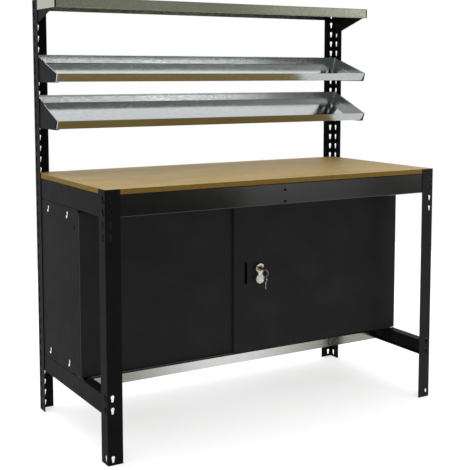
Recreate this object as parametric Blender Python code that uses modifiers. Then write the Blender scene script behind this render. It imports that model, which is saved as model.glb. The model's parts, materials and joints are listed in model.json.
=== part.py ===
"""Steel workbench with a chipboard top, three rear trays and a cabinet with two sliding doors.

Metres, +Z up. The origin is at the middle of the footprint, on the floor; the front faces -Y.
"""

import math

import bmesh
import bpy
from mathutils import Matrix, Vector

# Overall sizes
WIDTH = 1.290
DEPTH = 0.610
HEIGHT = 1.445
BENCH_HEIGHT = 0.850
CLEARANCE = 0.0003
OVERRUN = 0.002
BEND_STEPS = 2
WELD_DISTANCE = 0.000001
POLE_DISTANCE = 0.00001

# Perforated posts
POST_FLANGE = 0.050
POST_SHEET = 0.002
POST_BEND = 0.001
HOLE_PITCH = 0.0381
HOLE_FIRST = 0.0235
HOLE_INSET = 0.017
HOLE_RADIUS = 0.0065
SLOT_TOP_HALF = 0.0046
SLOT_HALF = 0.0035
SLOT_DROP = 0.012
SLOT_CORNER = 0.0016
KEYHOLE_STEPS = 5
HOLE_TOP_EDGE = 0.0045
FRONT_TOP_HOLES = 4

# Studs that hook into the keyholes
STUD_NECK = 0.003
STUD_HEAD = 0.0046
STUD_HEAD_HEIGHT = 0.0014
STUD_EDGE = 0.0055
STUD_SIDES = 8

# Folded beams
BEAM_SHEET = 0.0015
BEAM_BEND = 0.001
BEAM_FLANGE = 0.035
BEAM_RETURN = 0.012
TOP_BEAM_HEIGHT = 0.070
CROSSBAR_HEIGHT = 0.064
CROSSBAR_LEVEL = 0.1505
CROSSBAR_SETBACK = 0.020
BRACE_FLANGE = 0.025
BRACE_PLATE_HALF = 0.020
BRACE_HOLE = 0.0034

# Worktop
BOARD_THICKNESS = 0.016
BOARD_CORNER = 0.003

# Lower shelf and trays
SHELF_SHEET = 0.001
SHELF_REACH = 0.315
SHELF_BEND = 0.001
TRAY_SHEET = 0.001
TRAY_BEND = 0.002
TRAY_LIP = 0.030
TRAY_REACH = 0.210
BRACKET_SHEET = 0.002
BRACKET_FLANGE = 0.016
BRACKET_BACK = 0.005
TOP_TRAY_REACH = 0.215
TOP_TRAY_LIP = 0.035
GUSSET_SETBACK = 0.025

# Shares of the height above the bench: the trays' front lips, their climb to the rear, the gussets
UPPER_TRAY_SHARE = 0.5798
UPPER_TRAY_CLIMB = 0.1147
LOWER_TRAY_SHARE = 0.3143
LOWER_TRAY_CLIMB = 0.1498
GUSSET_SHARE = 0.1588

# Cabinet
CABINET_SHEET = 0.001
CABINET_LIP = 0.015
CABINET_BEND = 0.0015
CABINET_BACK_GAP = 0.0045
PANEL_HOLE_DROP = 0.0215
PANEL_HOLE_INSET = 0.095
PANEL_HOLE_SPACING = 0.175
PANEL_SLOT_INSET = 0.030
PANEL_SLOT_DROP = 0.060
PANEL_SLOT_WIDTH = 0.005
PANEL_SLOT_HEIGHT = 0.014
BEARER_SHEET = 0.0015
BEARER_FLANGE = 0.014
BEARER_EDGE = 0.009

# Doors, given from the front of the lower shelf
DOOR_LEAD = 0.0935
DOOR_THICKNESS = 0.0094
DOOR_SHEET = 0.001
DOOR_BEND = 0.0015
DOOR_HEM = 0.003
DOOR_OVERLAP = 0.158
LANE_GAP = 0.0016
CABINET_GAP = 0.0011
DOOR_FLOOR_GAP = 0.0022
DOOR_TOP_GAP = 0.0025

# Door tracks
TRACK_SHEET = 0.001
TRACK_FRONT = 0.003
TRACK_BACK = 0.040
FIN_WIDTH = 0.0018
LOWER_FIN_HEIGHT = 0.004
UPPER_FIN_HEIGHT = 0.008

# Rollers and guides in the doors
ROLLER_RADIUS = 0.010
ROLLER_WIDTH = 0.0036
ROLLER_INSET = 0.060
ROLLER_SIDES = 20
AXLE_RADIUS = 0.002
AXLE_SIDES = 10
CARRIER_WALL = 0.004
CARRIER_ABOVE = 0.0045
GUIDE_LENGTH = 0.030
GUIDE_HEIGHT = 0.010
GUIDE_SHELF = 0.0015

# Finger pulls, given from the door's own edge and bottom
PULL_WIDTH = 0.0124
PULL_HEIGHT = 0.0804
PULL_DEPTH = 0.0075
PULL_SHEET = 0.0008
PULL_RIM = 0.002
PULL_LEVEL = 0.280
RIGHT_PULL_INSET = 0.0485
LEFT_PULL_INSET = 0.083
PULL_STEPS = 5

# Lock on the right door
LOCK_INSET = 0.100
LOCK_LEVEL = 0.277
LOBE_RADIUS = 0.0175
LOBE_SPACING = 0.038
LOBE_CUT = math.radians(60)
LOCK_DEPTH = 0.014
LOCK_STEPS = 12
CYLINDER_RADIUS = 0.010
CYLINDER_PROUD = 0.001
CAM_SHEET = 0.002
CAM_LENGTH = 0.026
CAM_RADIUS = 0.006
BOLT_RADIUS = 0.005
BOLT_FACE = 0.0025
BOLT_STROKE = 0.008
BOLT_TIP_GAP = 0.0014
ROUND_STEPS = 16

# Keys
KEY_SHEET = 0.002
KEY_BOW = 0.011
KEY_SHANK_HALF = 0.0035
KEY_BOW_SETBACK = 0.026
KEY_DEPTH = 0.008
KEY_HOLE = 0.003
KEY_HOLE_EDGE = 0.0025
SPARE_KEY_SHANK = 0.023
RING_RADIUS = 0.012
RING_WIRE = 0.0008
RING_STEPS = 20
RING_SIDES = 6

# Places that follow from the sizes
HALF_WIDTH = WIDTH / 2
HALF_DEPTH = DEPTH / 2
RISE = HEIGHT - BENCH_HEIGHT
GUSSET_BACK_HEIGHT = RISE * GUSSET_SHARE
INSIDE = HALF_WIDTH - POST_SHEET - CLEARANCE
INSIDE_DEPTH = HALF_DEPTH - POST_SHEET - CLEARANCE
BEAM_TOP = BENCH_HEIGHT - BOARD_THICKNESS - CLEARANCE
BEAM_BOTTOM = BEAM_TOP - TOP_BEAM_HEIGHT
BEAM_INNER = INSIDE - BEAM_SHEET - CLEARANCE
LONG_BEAM_BACK = INSIDE_DEPTH - BEAM_SHEET - CLEARANCE
CROSSBAR_TOP = CROSSBAR_LEVEL + CROSSBAR_HEIGHT
SHELF_BOTTOM = CROSSBAR_TOP + CLEARANCE
SHELF_TOP = SHELF_BOTTOM + SHELF_SHEET
SHELF_FRONT = HALF_DEPTH - SHELF_REACH
CABINET_BOTTOM = SHELF_TOP + CLEARANCE
CABINET_TOP = BEAM_BOTTOM - CLEARANCE
PANEL_INNER = INSIDE - CABINET_SHEET - CLEARANCE
LIP_INNER = INSIDE - CABINET_LIP - CLEARANCE
DOOR_FRONT = SHELF_FRONT - DOOR_LEAD
REAR_LANE_FRONT = DOOR_FRONT + DOOR_THICKNESS + LANE_GAP
CABINET_FRONT = REAR_LANE_FRONT + DOOR_THICKNESS + CABINET_GAP
CABINET_BACK = HALF_DEPTH - CABINET_BACK_GAP
SHEET_FRONT = CABINET_FRONT + CABINET_SHEET + CLEARANCE
SHEET_BACK = CABINET_BACK - CABINET_SHEET - CLEARANCE
BACK_PANEL_FRONT = SHEET_BACK - CABINET_SHEET
FLOOR_BOTTOM = CABINET_BOTTOM + CABINET_SHEET + CLEARANCE
FLOOR_TOP = FLOOR_BOTTOM + CABINET_SHEET
LID_TOP = CABINET_TOP - CABINET_SHEET - CLEARANCE
LID_BOTTOM = LID_TOP - CABINET_SHEET
BEARER_FRONT = CABINET_FRONT + PANEL_HOLE_INSET - BEARER_EDGE
BEARER_BACK = BEARER_FRONT + PANEL_HOLE_SPACING + BEARER_EDGE + BEARER_EDGE
TRACK_PLATE_FRONT = DOOR_FRONT - TRACK_FRONT
LOWER_TRACK_TOP = SHELF_BOTTOM + TRACK_SHEET
UPPER_TRACK_TOP = LID_BOTTOM - CLEARANCE
UPPER_TRACK_BOTTOM = UPPER_TRACK_TOP - TRACK_SHEET
LOWER_FIN_TOP = LOWER_TRACK_TOP + LOWER_FIN_HEIGHT
UPPER_FIN_BOTTOM = UPPER_TRACK_BOTTOM - UPPER_FIN_HEIGHT
DOOR_BOTTOM = LOWER_TRACK_TOP + DOOR_FLOOR_GAP
DOOR_TOP = UPPER_TRACK_BOTTOM - DOOR_TOP_GAP
DOOR_WIDTH = INSIDE + DOOR_OVERLAP / 2
ROLLER_LEVEL = LOWER_FIN_TOP + CLEARANCE + ROLLER_RADIUS
LOCK_X = INSIDE - DOOR_WIDTH + LOCK_INSET
LOCK_CENTRE = DOOR_BOTTOM + LOCK_LEVEL
CYLINDER_LEVEL = LOCK_CENTRE + LOBE_SPACING / 2
BOLT_LEVEL = LOCK_CENTRE - LOBE_SPACING / 2
LOCK_BACK = DOOR_FRONT - CLEARANCE
LOCK_FRONT = LOCK_BACK - LOCK_DEPTH
KEY_BOW_Y = LOCK_FRONT - KEY_BOW_SETBACK
KEY_HOLE_Y = KEY_BOW_Y - KEY_BOW + KEY_HOLE_EDGE + KEY_HOLE

# Finishes: base colour, roughness, metallic
BLACK_PAINT = ((0.016, 0.016, 0.018, 1), 0.45, 0.0)
GALVANISED = ((0.70, 0.69, 0.65, 1), 0.42, 0.9)
CHIPBOARD = ((0.52, 0.36, 0.20, 1), 0.75, 0.0)
BLACK_PLASTIC = ((0.020, 0.020, 0.020, 1), 0.5, 0.0)
WHITE_PLASTIC = ((0.75, 0.75, 0.72, 1), 0.5, 0.0)
SATIN_STEEL = ((0.55, 0.55, 0.54, 1), 0.35, 1.0)

parts = bpy.data.collections.new("workbench")
cutters = bpy.data.collections.new("cutters")


def start_scene():
    """Empty the scene and link the two collections."""
    for old in list(bpy.data.objects):
        bpy.data.objects.remove(old, do_unlink=True)
    bpy.context.scene.collection.children.link(parts)
    bpy.context.scene.collection.children.link(cutters)


def arc(centre, radius, start, end, steps):
    """Points along an arc, both ends included."""
    angles = [start + (end - start) * i / steps for i in range(steps + 1)]
    return [(centre[0] + radius * math.cos(a), centre[1] + radius * math.sin(a)) for a in angles]


def folded_outline(path, sheet, bend):
    """Section of a folded sheet: the path is its outer face and the sheet lies on the path's left."""
    outer = []
    inner = []
    corners = [Vector(point) for point in path]
    for index, corner in enumerate(corners):
        before = (corner - corners[index - 1]).normalized() if index else None
        after = (corners[index + 1] - corner).normalized() if index + 1 < len(corners) else None
        if before is None or after is None:
            run = after or before
            normals = [Vector((-run.y, run.x))]
            centre = corner
            reach = 0
        else:
            turn = math.atan2(before.cross(after), before.dot(after))
            sign = math.copysign(1, turn)
            radius = bend + sheet if turn > 0 else bend
            first = Vector((-before.y, before.x))
            normals = [
                Matrix.Rotation(turn * i / BEND_STEPS, 2) @ first for i in range(BEND_STEPS + 1)
            ]
            centre = corner + (normals[0] + normals[-1]) * (sign * radius / (1 + math.cos(turn)))
            reach = sign * radius
        for normal in normals:
            outer.append(centre - normal * reach)
            inner.append(centre - normal * reach + normal * sheet)
    return [tuple(point) for point in outer + inner[::-1]]


def placed(outline, origin, directions):
    """Move an outline so that its axes start at origin and run in the given directions, 1 or -1."""
    return [(origin[0] + directions[0] * u, origin[1] + directions[1] * v) for u, v in outline]


def box_outline(low, high):
    """Corners of a rectangle."""
    return [low, (high[0], low[1]), high, (low[0], high[1])]


def stadium(centre, width, height, steps):
    """Upright slot with round ends."""
    radius = width / 2
    rise = height / 2 - radius
    top = arc((centre[0], centre[1] + rise), radius, 0, math.pi, steps)
    bottom = arc((centre[0], centre[1] - rise), radius, math.pi, 2 * math.pi, steps)
    return top + bottom


def keyhole(across, level):
    """Round entry with a tapering slot below it."""
    edge = math.asin(SLOT_TOP_HALF / HOLE_RADIUS)
    entry = arc((across, level), HOLE_RADIUS, edge - math.pi / 2, 3 * math.pi / 2 - edge, KEYHOLE_STEPS)
    foot = level - SLOT_DROP - SLOT_HALF
    slot = [
        (across - SLOT_HALF, foot + SLOT_CORNER),
        (across - SLOT_HALF + SLOT_CORNER, foot),
        (across + SLOT_HALF - SLOT_CORNER, foot),
        (across + SLOT_HALF, foot + SLOT_CORNER),
    ]
    return entry + slot


def mesh_of(piece):
    """Evaluated mesh of an object that is then removed, with its welded points."""
    bpy.context.view_layer.update()
    graph = bpy.context.evaluated_depsgraph_get()
    mesh = bpy.data.meshes.new_from_object(piece.evaluated_get(graph))
    mesh.materials.clear()
    bm = bmesh.new()
    bm.from_mesh(mesh)
    bmesh.ops.remove_doubles(bm, verts=bm.verts, dist=WELD_DISTANCE)
    bm.to_mesh(mesh)
    bm.free()
    return mesh


def extrude(name, outlines, axis, low, high):
    """Flat outlines in the plane across an axis, made solid from low to high along it.

    Outline points are (y, z) for axis X, (x, z) for axis Y and (x, y) for axis Z.
    """
    middle = (low + high) / 2
    turns = {
        "X": Matrix(((0, 0, 1, middle), (1, 0, 0, 0), (0, 1, 0, 0), (0, 0, 0, 1))),
        "Y": Matrix(((1, 0, 0, 0), (0, 0, -1, middle), (0, 1, 0, 0), (0, 0, 0, 1))),
        "Z": Matrix.Translation((0, 0, middle)),
    }
    curve = bpy.data.curves.new(name, "CURVE")
    curve.dimensions = "2D"
    curve.fill_mode = "BOTH"
    curve.extrude = (high - low) / 2
    for outline in outlines:
        spline = curve.splines.new("POLY")
        spline.points.add(len(outline) - 1)
        for point, (u, v) in zip(spline.points, outline):
            point.co = (u, v, 0, 1)
        spline.use_cyclic_u = True
    guide = bpy.data.objects.new(name + " outline", curve)
    bpy.context.scene.collection.objects.link(guide)
    guide.matrix_world = turns[axis]
    piece = bpy.data.objects.new(name, mesh_of(guide))
    piece.matrix_world = guide.matrix_world
    bpy.data.objects.remove(guide)
    bpy.data.curves.remove(curve)
    return piece


def block(name, low, high):
    """Box from its low corner to its high corner."""
    mesh = bpy.data.meshes.new(name)
    bm = bmesh.new()
    bmesh.ops.create_cube(bm, size=1)
    for vert in bm.verts:
        vert.co = [b if place > 0 else a for place, a, b in zip(vert.co, low, high)]
    bm.to_mesh(mesh)
    bm.free()
    return bpy.data.objects.new(name, mesh)


def pan(name, low, high, open_axis, open_sign, sheet, bend):
    """Folded sheet box that lacks the side facing open_sign along open_axis."""
    piece = block(name, low, high)
    bm = bmesh.new()
    bm.from_mesh(piece.data)
    bm.normal_update()
    gone = [face for face in bm.faces if face.normal[open_axis] * open_sign > 1 / 2]
    bmesh.ops.delete(bm, geom=gone, context="FACES_ONLY")
    bm.to_mesh(piece.data)
    bm.free()
    folds = piece.modifiers.new("folds", "BEVEL")
    folds.width = bend
    folds.segments = BEND_STEPS
    shell = piece.modifiers.new("sheet", "SOLIDIFY")
    shell.thickness = sheet
    shell.offset = -1
    shell.use_even_offset = True
    return piece


def turned(name, profile, steps, closed=False):
    """Solid of revolution round Z: profile points (radius, height) run down its outer side."""
    mesh = bpy.data.meshes.new(name)
    links = [(i, i + 1) for i in range(len(profile) - 1)]
    if closed:
        links.append((len(profile) - 1, 0))
    mesh.from_pydata([(radius, 0, height) for radius, height in profile], links, [])
    piece = bpy.data.objects.new(name, mesh)
    turn = piece.modifiers.new("turn", "SCREW")
    turn.axis = "Z"
    turn.steps = steps
    turn.render_steps = steps
    turn.use_merge_vertices = True
    turn.merge_threshold = POLE_DISTANCE
    return piece


def rod(name, radius, low, high, steps):
    """Cylinder round Z."""
    return turned(name, [(0, high), (radius, high), (radius, low), (0, low)], steps)


def face_front(piece, x, z):
    """Turn a solid of revolution so that its axis runs along Y through x and z."""
    piece.matrix_world = Matrix.Translation((x, 0, z)) @ Matrix.Rotation(-math.pi / 2, 4, "X")
    return piece


def as_tool(piece):
    """Keep an object only as a tool for Boolean modifiers."""
    cutters.objects.link(piece)
    piece.hide_render = True
    piece.display_type = "WIRE"
    return piece


def combine(piece, tool, operation):
    """Give a piece a Boolean modifier with a tool object."""
    as_tool(tool)
    change = piece.modifiers.new(tool.name, "BOOLEAN")
    change.operation = operation
    change.solver = "EXACT"
    change.object = tool


def cut(piece, tool):
    """Cut a tool's shape out of a piece."""
    combine(piece, tool, "DIFFERENCE")


def fuse(piece, tool):
    """Join a tool's shape to a piece."""
    combine(piece, tool, "UNION")


def add_part(piece, finish):
    """Put a finished piece in the workbench, with its own material."""
    colour, roughness, metallic = finish
    material = bpy.data.materials.new(piece.name)
    material.use_nodes = True
    shader = material.node_tree.nodes["Principled BSDF"]
    shader.inputs["Base Color"].default_value = colour
    shader.inputs["Roughness"].default_value = roughness
    shader.inputs["Metallic"].default_value = metallic
    piece.data.materials.clear()
    piece.data.materials.append(material)
    parts.objects.link(piece)
    return piece


def carry(name, place, pieces):
    """Parent pieces to an empty on their joint's axis."""
    empty = bpy.data.objects.new(name, None)
    empty.matrix_world = Matrix.Translation(place)
    parts.objects.link(empty)
    bpy.context.view_layer.update()
    for piece in pieces:
        piece.parent = empty
        piece.matrix_parent_inverse = empty.matrix_world.inverted()
    return empty


def hole_levels(top):
    """Heights of the keyholes' round entries on a post of the given height."""
    count = math.floor((top - HOLE_TOP_EDGE - HOLE_RADIUS - HOLE_FIRST) / HOLE_PITCH) + 1
    return [HOLE_FIRST + HOLE_PITCH * k for k in range(count)]


def stud_levels(bottom, top):
    """Heights of the studs that a piece between two heights can hold."""
    seats = [level - SLOT_DROP for level in hole_levels(HEIGHT)]
    return [seat for seat in seats if bottom + STUD_EDGE <= seat <= top - STUD_EDGE]


def studs(name, places, outward, web, wall):
    """Studs that stand on a web at the given places and pass a wall in front of it.

    Places are points on the web's outer face; the neck starts half way into the web.
    """
    neck = CLEARANCE + wall + CLEARANCE
    profile = [
        (0, neck + STUD_HEAD_HEIGHT),
        (STUD_HEAD, neck + STUD_HEAD_HEIGHT),
        (STUD_HEAD, neck),
        (STUD_NECK, neck),
        (STUD_NECK, -web / 2),
        (0, -web / 2),
    ]
    shape = turned(name, profile, STUD_SIDES)
    bpy.context.scene.collection.objects.link(shape)
    unit = mesh_of(shape)
    bpy.data.objects.remove(shape)
    turn = Vector(outward).to_track_quat("Z", "Y").to_matrix().to_4x4()
    bm = bmesh.new()
    for place in places:
        copy = unit.copy()
        copy.transform(Matrix.Translation(place) @ turn)
        bm.from_mesh(copy)
        bpy.data.meshes.remove(copy)
    mesh = bpy.data.meshes.new(name)
    bm.to_mesh(mesh)
    bm.free()
    return bpy.data.objects.new(name, mesh)


def make_post(name, side, end, height, levels):
    """Perforated angle post at one corner of the footprint."""
    section = folded_outline([(0, POST_FLANGE), (0, 0), (POST_FLANGE, 0)], POST_SHEET, POST_BEND)
    corner = (side * HALF_WIDTH, end * HALF_DEPTH)
    post = extrude(name, [placed(section, corner, (-side, -end))], "Z", 0, height)
    across = side * (HALF_WIDTH - HOLE_INSET)
    along = end * (HALF_DEPTH - HOLE_INSET)
    outer_y = end * (HALF_DEPTH + OVERRUN)
    inner_y = end * (HALF_DEPTH - POST_SHEET - OVERRUN)
    outer_x = side * (HALF_WIDTH + OVERRUN)
    inner_x = side * (HALF_WIDTH - POST_SHEET - OVERRUN)
    face_holes = [keyhole(across, level) for level in levels]
    side_holes = [keyhole(along, level) for level in levels]
    cut(post, extrude(name + " face holes", face_holes, "Y", min(outer_y, inner_y), max(outer_y, inner_y)))
    cut(post, extrude(name + " side holes", side_holes, "X", min(outer_x, inner_x), max(outer_x, inner_x)))
    return add_part(post, BLACK_PAINT)


def front_levels():
    """Keyholes of the short front posts: the foot, the crossbar and the top group."""
    levels = hole_levels(BENCH_HEIGHT)
    seats = stud_levels(CROSSBAR_LEVEL, CROSSBAR_TOP)
    at_crossbar = [level for level in levels if level - SLOT_DROP in seats]
    return sorted(set(levels[:1] + at_crossbar + levels[-FRONT_TOP_HOLES:]))


def round_hole(across, level, radius):
    """Round outline, as a ring of points."""
    return arc((across, level), radius, 0, 2 * math.pi * (1 - 1 / ROUND_STEPS), ROUND_STEPS - 1)


def make_posts():
    """Two tall rear posts and two short front posts."""
    for label, side in (("left", -1), ("right", 1)):
        make_post("rear_upright_" + label, side, 1, HEIGHT, hole_levels(HEIGHT))
        make_post("front_leg_" + label, side, -1, BENCH_HEIGHT, front_levels())


def beam_section(height):
    """Channel section: wide flange on top, narrow return below, outer face on the left."""
    path = [(BEAM_FLANGE, height), (0, height), (0, 0), (BEAM_RETURN, 0)]
    return folded_outline(path, BEAM_SHEET, BEAM_BEND)


def make_long_beam(name, end, bottom, height):
    """Beam along the bench, between two posts at the front or the rear."""
    outline = placed(beam_section(height), (end * INSIDE_DEPTH, bottom), (-end, 1))
    beam = extrude(name, [outline], "X", -BEAM_INNER, BEAM_INNER)
    places = [
        (side * (HALF_WIDTH - HOLE_INSET), end * INSIDE_DEPTH, level)
        for side in (-1, 1)
        for level in stud_levels(bottom, bottom + height)
    ]
    fuse(beam, studs(name + " studs", places, (0, end, 0), BEAM_SHEET, POST_SHEET))
    return beam


def make_side_beam(name, side, bottom, height, has_front_beam):
    """Beam from the front leg to the rear post; its flanges stop short of the long beams."""
    outline = placed(beam_section(height), (side * INSIDE, bottom), (-side, 1))
    start = -LONG_BEAM_BACK if has_front_beam else POST_BEND - INSIDE_DEPTH
    beam = extrude(name, [outline], "Y", start, LONG_BEAM_BACK)
    far = side * (INSIDE - BEAM_FLANGE - OVERRUN)
    near = side * (INSIDE - BEAM_SHEET)
    for end in (-1, 1):
        setback = BEAM_FLANGE + CLEARANCE if has_front_beam or end > 0 else CROSSBAR_SETBACK
        stop = end * (INSIDE_DEPTH - setback)
        past = end * (INSIDE_DEPTH + OVERRUN)
        low = (min(far, near), min(stop, past), bottom - OVERRUN)
        high = (max(far, near), max(stop, past), bottom + height + OVERRUN)
        cut(beam, block("{} cutback {}".format(name, end), low, high))
    places = [
        (side * INSIDE, end * (HALF_DEPTH - HOLE_INSET), level)
        for end in (-1, 1)
        for level in stud_levels(bottom, bottom + height)
    ]
    fuse(beam, studs(name + " studs", places, (side, 0, 0), BEAM_SHEET, POST_SHEET))
    return add_part(beam, BLACK_PAINT)


def make_frame():
    """Beams under the worktop and near the floor."""
    for name, end in (("top_front_beam", -1), ("top_rear_beam", 1)):
        beam = make_long_beam(name, end, BEAM_BOTTOM, TOP_BEAM_HEIGHT)
        holes = [round_hole(0, level, BRACE_HOLE) for level in stud_levels(BEAM_BOTTOM, BEAM_TOP)]
        web = sorted((end * (INSIDE_DEPTH + OVERRUN), end * (LONG_BEAM_BACK - OVERRUN)))
        cut(beam, extrude(name + " brace holes", holes, "Y", *web))
        add_part(beam, BLACK_PAINT)
    for label, side in (("left", -1), ("right", 1)):
        make_side_beam("top_side_beam_" + label, side, BEAM_BOTTOM, TOP_BEAM_HEIGHT, True)
        make_side_beam("lower_crossbar_" + label, side, CROSSBAR_LEVEL, CROSSBAR_HEIGHT, False)
    rear = make_long_beam("lower_rear_beam", 1, CROSSBAR_LEVEL, CROSSBAR_HEIGHT)
    add_part(rear, BLACK_PAINT)


def make_brace():
    """Channel under the middle of the worktop, with an end plate on each long beam."""
    bottom = BEAM_BOTTOM + BEAM_SHEET + CLEARANCE
    under_flange = BEAM_TOP - BEAM_SHEET - CLEARANCE
    path = [(BRACE_FLANGE, BEAM_TOP), (0, BEAM_TOP), (0, bottom), (BRACE_FLANGE, bottom)]
    section = folded_outline(path, BEAM_SHEET, BEAM_BEND)
    reach = LONG_BEAM_BACK - BEAM_SHEET / 2
    brace = extrude("worktop_brace", [placed(section, (-BRACE_FLANGE / 2, 0), (1, 1))], "Y", -reach, reach)
    for end in (-1, 1):
        label = "brace {}".format(end)
        stop = end * (INSIDE_DEPTH - BEAM_FLANGE - CLEARANCE)
        past = end * INSIDE_DEPTH
        low = (-BRACE_FLANGE, min(stop, past), under_flange)
        high = (BRACE_FLANGE, max(stop, past), BEAM_TOP + OVERRUN)
        cut(brace, block(label + " notch", low, high))
        faces = sorted((end * LONG_BEAM_BACK, end * (LONG_BEAM_BACK - BEAM_SHEET)))
        low = (-BRACE_PLATE_HALF, faces[0], bottom)
        high = (BRACE_PLATE_HALF, faces[1], under_flange)
        fuse(brace, block(label + " plate", low, high))
        places = [(0, end * LONG_BEAM_BACK, level) for level in stud_levels(BEAM_BOTTOM, BEAM_TOP)]
        fuse(brace, studs(label + " studs", places, (0, end, 0), BEAM_SHEET, BEAM_SHEET))
    add_part(brace, BLACK_PAINT)


def make_board():
    """Worktop board, flush with the tops of the front legs."""
    corner_x = INSIDE - BOARD_CORNER
    corner_y = INSIDE_DEPTH - BOARD_CORNER
    outline = []
    for sx, sy, start in ((1, 1, 0), (-1, 1, 1), (-1, -1, 2), (1, -1, 3)):
        centre = (sx * corner_x, sy * corner_y)
        outline += arc(centre, BOARD_CORNER, start * math.pi / 2, (start + 1) * math.pi / 2, BEND_STEPS)
    board = extrude("worktop_board", [outline], "Z", BENCH_HEIGHT - BOARD_THICKNESS, BENCH_HEIGHT)
    add_part(board, CHIPBOARD)


def make_lower_shelf():
    """Half-depth shelf sheet with a front lip as tall as the crossbars."""
    front = SHELF_FRONT
    back = SHEET_BACK
    path = [(back, SHELF_TOP), (front, SHELF_TOP), (front, CROSSBAR_LEVEL)]
    section = folded_outline(path, SHELF_SHEET, SHELF_BEND)
    shelf = extrude("lower_shelf", [section], "X", -BEAM_INNER, BEAM_INNER)
    past_return = INSIDE - BEAM_RETURN - CLEARANCE
    past_flange = INSIDE - BEAM_FLANGE - CLEARANCE
    below_flange = CROSSBAR_TOP - BEAM_SHEET - CLEARANCE
    end_cut = [
        (past_return, CROSSBAR_LEVEL - OVERRUN),
        (BEAM_INNER + OVERRUN, CROSSBAR_LEVEL - OVERRUN),
        (BEAM_INNER + OVERRUN, SHELF_BOTTOM),
        (past_flange, SHELF_BOTTOM),
        (past_flange, below_flange),
        (past_return, below_flange),
    ]
    for side in (-1, 1):
        outline = placed(end_cut, (0, 0), (side, 1))
        deep = front + SHELF_SHEET + SHELF_BEND
        cut(shelf, extrude("shelf end {}".format(side), [outline], "Y", front - OVERRUN, deep))
    add_part(shelf, GALVANISED)


def make_top_shelf():
    """Flat tray with lips turned down, cut round the two uprights, on two gussets."""
    under = HEIGHT - TOP_TRAY_LIP
    front = HALF_DEPTH - TOP_TRAY_REACH
    low = (CLEARANCE - HALF_WIDTH, front, under)
    high = (HALF_WIDTH - CLEARANCE, HALF_DEPTH - CLEARANCE, HEIGHT)
    tray = pan("top_shelf_tray", low, high, 2, -1, TRAY_SHEET, TRAY_BEND)
    for side in (-1, 1):
        gap = POST_SHEET + CLEARANCE
        reach = POST_FLANGE + CLEARANCE
        corner_cut = [
            (-OVERRUN, -OVERRUN),
            (reach, -OVERRUN),
            (reach, gap),
            (gap + POST_BEND, gap),
            (gap, gap + POST_BEND),
            (gap, reach),
            (-OVERRUN, reach),
        ]
        outline = placed(corner_cut, (side * HALF_WIDTH, HALF_DEPTH), (-side, -1))
        post_room = extrude("tray corner {}".format(side), [outline], "Z", under - OVERRUN, HEIGHT + OVERRUN)
        cut(tray, post_room)
    add_part(tray, GALVANISED)
    top = HEIGHT - TRAY_SHEET - CLEARANCE
    tip = front + GUSSET_SETBACK
    back = HALF_DEPTH - BRACKET_BACK
    for label, side in (("left", -1), ("right", 1)):
        name = "top_shelf_bracket_" + label
        outline = [(tip, top), (tip, under), (back, HEIGHT - GUSSET_BACK_HEIGHT), (back, top)]
        faces = sorted((side * INSIDE, side * (INSIDE - BRACKET_SHEET)))
        gusset = extrude(name, [outline], "X", *faces)
        levels = stud_levels(HEIGHT - GUSSET_BACK_HEIGHT, top)
        places = [(side * INSIDE, HALF_DEPTH - HOLE_INSET, level) for level in levels]
        fuse(gusset, studs(name + " studs", places, (side, 0, 0), BRACKET_SHEET, POST_SHEET))
        add_part(gusset, BLACK_PAINT)


def make_sloped_tray(name, share, climb):
    """Sloped pan with lips all round, between two side brackets that hook into the uprights."""
    slope = math.atan(climb * RISE / TRAY_REACH)
    lip_y = HALF_DEPTH - TRAY_REACH
    lip_z = BENCH_HEIGHT + share * RISE
    foot_y = lip_y + TRAY_LIP * math.sin(slope)
    foot_z = lip_z - TRAY_LIP * math.cos(slope)
    length = (INSIDE_DEPTH - TRAY_BEND - foot_y) / math.cos(slope)
    half = INSIDE - BRACKET_SHEET - CLEARANCE
    tray = pan(name, (-half, 0, 0), (half, length, TRAY_LIP), 2, 1, TRAY_SHEET, TRAY_BEND)
    tray.matrix_world = Matrix.Translation((0, foot_y, foot_z)) @ Matrix.Rotation(slope, 4, "X")
    add_part(tray, GALVANISED)
    bottom = foot_z - CLEARANCE - BRACKET_SHEET
    back = HALF_DEPTH - BRACKET_BACK
    toe_y = lip_y + (lip_z - bottom) * math.tan(slope)
    outline = [
        (lip_y, lip_z),
        (toe_y, bottom),
        (back, bottom),
        (back, lip_z + (back - lip_y) * math.tan(slope)),
    ]
    stud_y = HALF_DEPTH - HOLE_INSET
    stud_top = lip_z + (stud_y - lip_y) * math.tan(slope)
    flange_back = HALF_DEPTH - POST_FLANGE
    for label, side in (("left", -1), ("right", 1)):
        bracket_name = "{}_bracket_{}".format(name, label)
        faces = sorted((side * INSIDE, side * (INSIDE - BRACKET_SHEET)))
        bracket = extrude(bracket_name, [outline], "X", *faces)
        near = side * (INSIDE - BRACKET_SHEET / 2)
        far = side * (INSIDE - BRACKET_FLANGE)
        low = (min(near, far), toe_y, bottom)
        high = (max(near, far), flange_back, bottom + BRACKET_SHEET)
        fuse(bracket, block(bracket_name + " flange", low, high))
        places = [(side * INSIDE, stud_y, level) for level in stud_levels(bottom, stud_top)]
        fuse(bracket, studs(bracket_name + " studs", places, (side, 0, 0), BRACKET_SHEET, POST_SHEET))
        add_part(bracket, BLACK_PAINT)


def panel_hole_levels():
    """Heights of the side panels' upper and lower keyholes, a whole number of pitches apart."""
    upper = CABINET_TOP - PANEL_HOLE_DROP
    lowest = FLOOR_TOP + BEARER_EDGE + SLOT_DROP
    return upper, upper - HOLE_PITCH * math.floor((upper - lowest) / HOLE_PITCH)


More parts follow.
